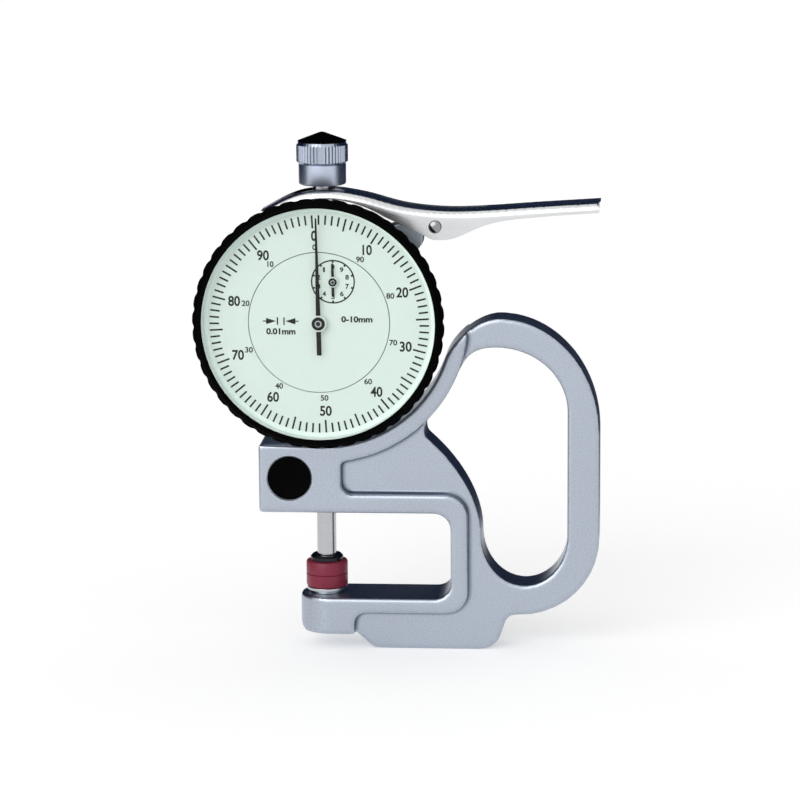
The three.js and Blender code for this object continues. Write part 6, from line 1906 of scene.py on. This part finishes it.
@dataclass
class LiftingLever:
    """The formed sheet lever that lifts the spindle, and its pin."""

    left: float = 12.95
    right: float = 63.4
    half_width: float = 5.0
    sheet: float = 0.9
    base: float = 96.3
    crown: float = 11.3
    arc_radius: float = 27.45
    pin_head: float = 1.5
    edge: float = 1.8
    edge_steps: int = 8
    upward: float = 0.5
    rim_rounding: float = 0.15
    top_steps: int = 6
    belly_steps: int = 5
    arc_steps: int = 30
    overrun: float = 1.0
    head_gap: float = 0.1
    head_rim: float = 0.15
    pin_gap: float = 0.09
    dome_steps: int = 8
    slot_left: float = 8.5
    slot_right: float = 2.95
    slot_half: float = 2.8
    pivot: Point2 = (26.1, 99.4)
    pin_hole: float = 1.04
    top_shares: Sequence[Point2] = (
        (0, 0.613), (0.06, 0.827), (0.12, 0.958), (0.2, 1), (0.3, 0.898),
        (0.42, 0.685), (0.54, 0.602), (0.66, 0.62), (0.82, 0.695), (1, 0.77),
    )
    belly_shares: Sequence[Point2] = (
        (0.478, 0.1), (0.5, 0.018), (0.525, 0), (0.55, 0.012), (0.58, 0.065), (0.69, 0.36),
        (0.85, 0.49), (1, 0.56),
    )

    def along(self, shares: Sequence[Point2], steps: int, drop: float = 0.0) -> list[Point2]:
        """Draws a smooth curve through shares of the lever's length and crown.

        Args:
            shares: The points as shares.
            steps: The number of steps between two of them.
            drop: How far the curve is lowered.

        Returns:
            The points of the curve.
        """
        length = self.left + self.right
        knots = [(a * length - self.left, self.base + u * self.crown - drop) for a, u in shares]
        points = []
        for index in range(len(knots) - 1):
            p0 = knots[max(0, index - 1)]
            p1, p2 = knots[index], knots[index + 1]
            p3 = knots[min(len(knots) - 1, index + 2)]
            for step in range(steps):
                t = step / steps
                points.append(tuple(
                    0.5 * (2 * b + (c - a) * t + (2 * a - 5 * b + 4 * c - d) * t * t
                           + (3 * b - a - 3 * c + d) * t**3)
                    for a, b, c, d in zip(p0, p1, p2, p3)
                ))
        return [*points, knots[-1]]

    def make_lever(self) -> bpy.types.Object:
        """Makes the lever: a rounded channel with a slot and a pin hole."""
        top = self.along(self.top_shares, self.top_steps)
        belly = self.along(self.belly_shares, self.belly_steps)[::-1]
        radius = self.arc_radius
        start = math.acos((self.left + self.pin_head) / radius)
        end = math.pi - math.acos((self.left - self.sheet) / radius)
        outline = Outline([*top, *belly])
        outline.arc((0, DIAL_Z), (radius, radius), start, end, self.arc_steps)
        lever = cut_plate(
            "lever_channel", outline.shifted(SPINDLE_X), -self.half_width, self.half_width
        )
        pick_only(lever)
        mesh = lever.data
        crests = [face for face in mesh.polygons if face.normal.z > self.upward]
        upper = {key for face in crests for key in face.edge_keys}
        for item in (mesh.polygons, mesh.edges, mesh.vertices):
            item.foreach_set("select", [False] * len(item))
        for edge in mesh.edges:
            first, second = (mesh.vertices[index].co.y for index in edge.vertices)
            edge.select = edge.key in upper and abs(first - second) < WELD_MM * MM
        bpy.ops.object.mode_set(mode="EDIT")
        bpy.ops.mesh.select_mode(type="EDGE")
        bpy.ops.mesh.bevel(offset=self.edge * MM, segments=self.edge_steps, affect="EDGES")
        bpy.ops.mesh.select_mode(type="VERT")
        bpy.ops.object.mode_set(mode="OBJECT")
        tidy_mesh(lever)
        self.cut_inside(lever)
        round_edges(lever, self.rim_rounding, 2, 60)
        shade(lever)
        return lever

    def cut_inside(self, lever: bpy.types.Object) -> None:
        """Cuts the channel, the slot and the pin hole.

        Args:
            lever: The solid lever.
        """
        roof = self.along(self.top_shares, self.top_steps, self.sheet)
        low, beyond = self.base - self.crown, self.overrun
        inside = [*roof, (roof[-1][0] + beyond, roof[-1][1]), (roof[-1][0] + beyond, low)]
        inside += [(roof[0][0] - beyond, low), (roof[0][0] - beyond, roof[0][1])]
        half = self.half_width - self.sheet
        channel = cut_plate("channel", [(SPINDLE_X + x, z) for x, z in inside], -half, half)
        combine(lever, channel, "DIFFERENCE")
        high = self.base + 2 * self.crown
        slot = rounded([
            (-self.slot_left, self.base, 0), (self.slot_right, self.base, 0),
            (self.slot_right, high, 0), (-self.slot_left, high, 0),
        ])
        tool = cut_plate("slot", slot.shifted(SPINDLE_X), -self.slot_half, self.slot_half)
        combine(lever, tool, "DIFFERENCE")
        reach = self.half_width + beyond
        hole = [(0, -reach), (self.pin_hole, -reach), (self.pin_hole, reach), (0, reach)]
        place = (SPINDLE_X + self.pivot[0], 0.0, self.pivot[1])
        combine(lever, turn_piece("pin_hole", hole, Axis.DEPTH, place, 48), "DIFFERENCE")

    def make_pin(self) -> bpy.types.Object:
        """Makes the rivet with its two domed heads."""
        size = NodeSize.of("lever_pin")
        face, shoulder = size.front, self.half_width + self.head_gap
        radius, rim = self.pin_head, self.head_rim
        rise = face - shoulder - rim
        dome = []
        for index in range(self.dome_steps + 1):
            angle = QUARTER_TURN * index / self.dome_steps
            dome.append((radius * math.sin(angle), shoulder + rim + rise * math.cos(angle)))
        half = [*dome, (radius, shoulder), (self.pin_hole - self.pin_gap, shoulder)]
        profile = half + [(r, -d) for r, d in reversed(half)]
        place = (SPINDLE_X + self.pivot[0], 0.0, self.pivot[1])
        return turn_piece("lever_rivet", profile, Axis.DEPTH, place, 64)

    def dress(self, sheet: bpy.types.Material, steel: bpy.types.Material) -> None:
        """Makes the lever and its pin and finishes them.

        Args:
            sheet: The finish of the lever.
            steel: The finish of the pin.
        """
        finish_piece(self.make_lever(), Body.LEVER, sheet, ["lever"])
        finish_piece(self.make_pin(), Body.GAUGE, steel, ["lever_pin"])


@dataclass
class Movement:
    """The works inside the case, which keep their CAD shapes."""

    brass: Sequence[str] = (
        "front_plate", "mid_bridge", "rear_plate", "drive_gear", "hairspring_gear",
        "hairspring_collet", "guide_block", "stem_bush",
    )
    ruby: str = "jewel"

    def dress(
        self, brass: bpy.types.Material, ruby: bpy.types.Material, steel: bpy.types.Material
    ) -> None:
        """Finishes every CAD node that still shows.

        Args:
            brass: The finish of plates and wheels.
            ruby: The finish of the jewels.
            steel: The finish of everything else.
        """
        for node, piece in sorted(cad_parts.items()):
            if piece.hide_render:
                continue
            if node in self.brass:
                dress_node(node, brass)
            elif self.ruby in node:
                dress_node(node, ruby)
            else:
                dress_node(node, steel)


@dataclass
class Studio:
    """The camera, the floor, the cards and the lamps."""

    eye: Point3 = (50.749, -732.691, 203.682)
    target: Point3 = (-6.447, 10.638, 56.064)
    roll: float = math.radians(0.44)
    lens: float = 145.53
    sensor: float = 36.0
    floor_size: float = 9000.0
    floor_lift: float = 0.355
    floor_tone: float = 0.88
    floor_drop: float = 0.02
    dull: float = 0.9
    clip: Point2 = (0.05, 30.0)
    world_level: float = 0.62
    wall_heights: Point2 = (0.0, 0.93)
    wall_blur: float = 0.04
    wall_tone: Point3 = (0.0012, 0.008, 0.03)
    card_tone: Point3 = (0.002, 0.012, 0.045)
    card_lift: float = 0.5
    back_card: Point3 = (90.0, 200.0, 130.0)
    back_shift: float = 52.0
    side_card: Point3 = (420.0, 420.0, 210.0)
    side_shift: float = 150.0
    key_towards: Point3 = (-0.4, -0.82, 0.42)
    key_angle: float = math.radians(50)
    key_power: float = 1.0
    key_gloss: float = 0.6

    def set_camera(self) -> None:
        """Makes the camera that stands where the photograph was taken."""
        bpy.ops.object.camera_add(location=Vector(self.eye) * MM)
        camera = bpy.context.object
        camera.name = "photo_camera"
        back = (Vector(self.eye) - Vector(self.target)).normalized()
        right = Vector((0, 0, 1)).cross(back).normalized()
        up = back.cross(right)
        cosine, sine = math.cos(self.roll), math.sin(self.roll)
        right, up = right * cosine - up * sine, up * cosine + right * sine
        camera.rotation_mode = "QUATERNION"
        camera.rotation_quaternion = Matrix((right, up, back)).transposed().to_quaternion()
        camera.data.lens = self.lens
        camera.data.sensor_width = self.sensor
        camera.data.clip_start, camera.data.clip_end = self.clip
        bpy.context.scene.camera = camera

    def seen_share(self, board: NodeBoard, rays: bpy.types.Node) -> bpy.types.NodeSocket:
        """Tells the rays that show a thing from those that only light it.

        Args:
            board: The node tree to wire.
            rays: Its light path node.

        Returns:
            One for camera rays, mirrored rays and rays through glass, otherwise nought.
        """
        seen = board.maths("MAXIMUM", rays.outputs["Is Camera Ray"], rays.outputs["Is Glossy Ray"])
        return board.maths("MAXIMUM", seen, rays.outputs["Is Transmission Ray"])

    def set_world(self) -> None:
        """Makes a world that lights softly and shows white, with a dark wall in the metal."""
        world = bpy.data.worlds.new("white_room")
        bpy.context.scene.world = world
        world.use_nodes = True
        board = NodeBoard(world.node_tree)
        background = world.node_tree.nodes["Background"]
        rays = board.add("ShaderNodeLightPath")
        level = board.spread(self.seen_share(board, rays), 0.0, 1.0, self.world_level, 1.0)
        board.wire(level, background.inputs["Strength"])
        parts = board.add("ShaderNodeSeparateXYZ")
        board.wire(board.add("ShaderNodeTexCoord").outputs["Generated"], parts.inputs["Vector"])
        foot, top = self.wall_heights
        wall = board.spread(parts.outputs["Z"], foot, foot + self.wall_blur)
        above = board.spread(parts.outputs["Z"], top, top + self.wall_blur, 1.0, 0.0)
        behind = board.spread(parts.outputs["Y"], 0.0, self.wall_blur)
        wall = board.maths("MULTIPLY", board.maths("MULTIPLY", wall, above), behind)
        wall = board.maths("MULTIPLY", wall, rays.outputs["Is Glossy Ray"])
        board.wire(board.blend(wall, (1.0, 1.0, 1.0), self.wall_tone), background.inputs["Color"])

    def lay_floor(self) -> None:
        """Lays the white floor, which keeps the gauge's shadow."""
        bpy.ops.mesh.primitive_plane_add(
            size=self.floor_size * MM, location=(0, 0, -self.floor_drop * MM)
        )
        floor = bpy.context.object
        floor.name = "floor"
        apply_place(floor)
        material = bpy.data.materials.new("white_floor")
        material.use_nodes = True
        board = NodeBoard(material.node_tree)
        shader = material.node_tree.nodes["Principled BSDF"]
        grey = self.floor_tone
        shader.inputs["Base Color"].default_value = (grey, grey, grey, 1.0)
        shader.inputs["Roughness"].default_value = self.dull
        shader.inputs["Specular IOR Level"].default_value = 0.0
        seen = self.seen_share(board, board.add("ShaderNodeLightPath"))
        tone = board.blend(seen, (0.0, 0.0, 0.0), (self.floor_lift,) * 3)
        board.wire(tone, shader.inputs["Emission Color"])
        shader.inputs["Emission Strength"].default_value = 1.0
        floor.data.materials.append(material)

    def card_paper(self) -> bpy.types.Material:
        """Makes the dark blue paper of the cards."""
        material = bpy.data.materials.new("dark_card_paper")
        material.use_nodes = True
        shader = material.node_tree.nodes["Principled BSDF"]
        shader.inputs["Base Color"].default_value = (*self.card_tone, 1.0)
        shader.inputs["Roughness"].default_value = self.dull
        shader.inputs["Specular IOR Level"].default_value = 0.0
        return material

    def hang_card(
        self, name: str, place: Point2, size: Point2, turn: float, paper: bpy.types.Material
    ) -> None:
        """Hangs a dark card that only the metal mirrors.

        Args:
            name: The name of the card.
            place: Its place in X and Y.
            size: Its width and height.
            turn: Its turn about the vertical, in radians.
            paper: The material of the card.
        """
        bpy.ops.mesh.primitive_plane_add(
            size=MM, rotation=(QUARTER_TURN, 0, turn),
            location=Vector((*place, size[1] / 2 + self.card_lift)) * MM,
        )
        card = bpy.context.object
        card.name = name
        card.scale = (*size, 1)
        apply_place(card)
        card.data.materials.append(paper)
        card.visible_camera = False
        card.visible_diffuse = False
        card.visible_shadow = False
        card.visible_transmission = False

    def hang_cards(self) -> None:
        """Hangs the cards at the gauge's sides and the narrow one behind its grip."""
        paper = self.card_paper()
        width, height, distance = self.back_card
        self.hang_card("card_back", (self.back_shift, distance), (width, height), 0, paper)
        width, height, distance = self.side_card
        for name, side in (("card_left", -1), ("card_right", 1)):
            place = (SPINDLE_X + side * distance, self.side_shift)
            self.hang_card(name, place, (width, height), QUARTER_TURN, paper)

    def add_key(self) -> None:
        """Adds the soft key light, which lights the whole floor evenly."""
        bpy.ops.object.light_add(type="SUN", location=Vector(self.eye) * MM)
        lamp = bpy.context.object
        lamp.name = "key_light"
        lamp.data.energy = self.key_power
        lamp.data.angle = self.key_angle
        lamp.data.specular_factor = self.key_gloss
        lamp.rotation_mode = "QUATERNION"
        lamp.rotation_quaternion = Vector(self.key_towards).to_track_quat("Z", "Y")

    def build(self) -> None:
        """Sets up the whole studio."""
        bpy.context.scene.view_settings.view_transform = "Standard"
        self.set_camera()
        self.set_world()
        self.lay_floor()
        self.hang_cards()
        self.add_key()
        LOG.info("studio ready")


def clear_bench() -> None:
    """Clears away what Blender starts with."""
    for name in ("Cube", "Light", "Camera"):
        thing = bpy.data.objects.get(name)
        if thing is not None:
            bpy.data.objects.remove(thing)


def main() -> None:
    """Builds the gauge's sub-assemblies in order and the studio round them."""
    logging.basicConfig(level=logging.INFO, format="%(message)s")
    clear_bench()
    cast, black, lacquer = CAST.build(), BLACK_MOULDING.build(), BLACK_LACQUER.build()
    steel, satin, knurled = GROUND_STEEL.build(), SATIN_STEEL.build(), KNURLED_STEEL.build()
    enamel, rim, ceramic = DIAL_ENAMEL.build(), PAINTED_RIM_GLOW.build(), RED_CERAMIC.build()
    FrameCasting().dress(cast, black)
    MeasuringSpindle().dress(steel, DARK_STEEL.build(), ceramic)
    IndicatorCase().dress(steel, cast)
    Bezel().dress(black, GlassFinish().build(), rim)
    DialFace().dress(enamel, DIAL_INK.build(), rim)
    Pointer(
        "main", "main_pointer", Body.CENTRE, (0.0, 0.0), length=24.0, tail=7.3,
        root_width=1.08, tip_width=0.35, tail_width=1.05, hub=1.5, collar=1.85,
    ).dress(lacquer, enamel, steel)
    Pointer(
        "counter", "revolution_pointer", Body.COUNTER, DialFace.counter_place, length=4.2,
        tail=3.2, root_width=0.62, tip_width=0.5, tail_width=0.62, hub=0.95, collar=1.2,
    ).dress(lacquer, enamel, steel)
    SpindleCap().dress(knurled, satin, black)
    LiftingLever().dress(BRIGHT_SHEET.build(), RIVET_STEEL.build())
    Movement().dress(YELLOW_BRASS.build(), RUBY_STONE.build(), steel)
    Studio().build()


if __name__ == "__main__":
    main()
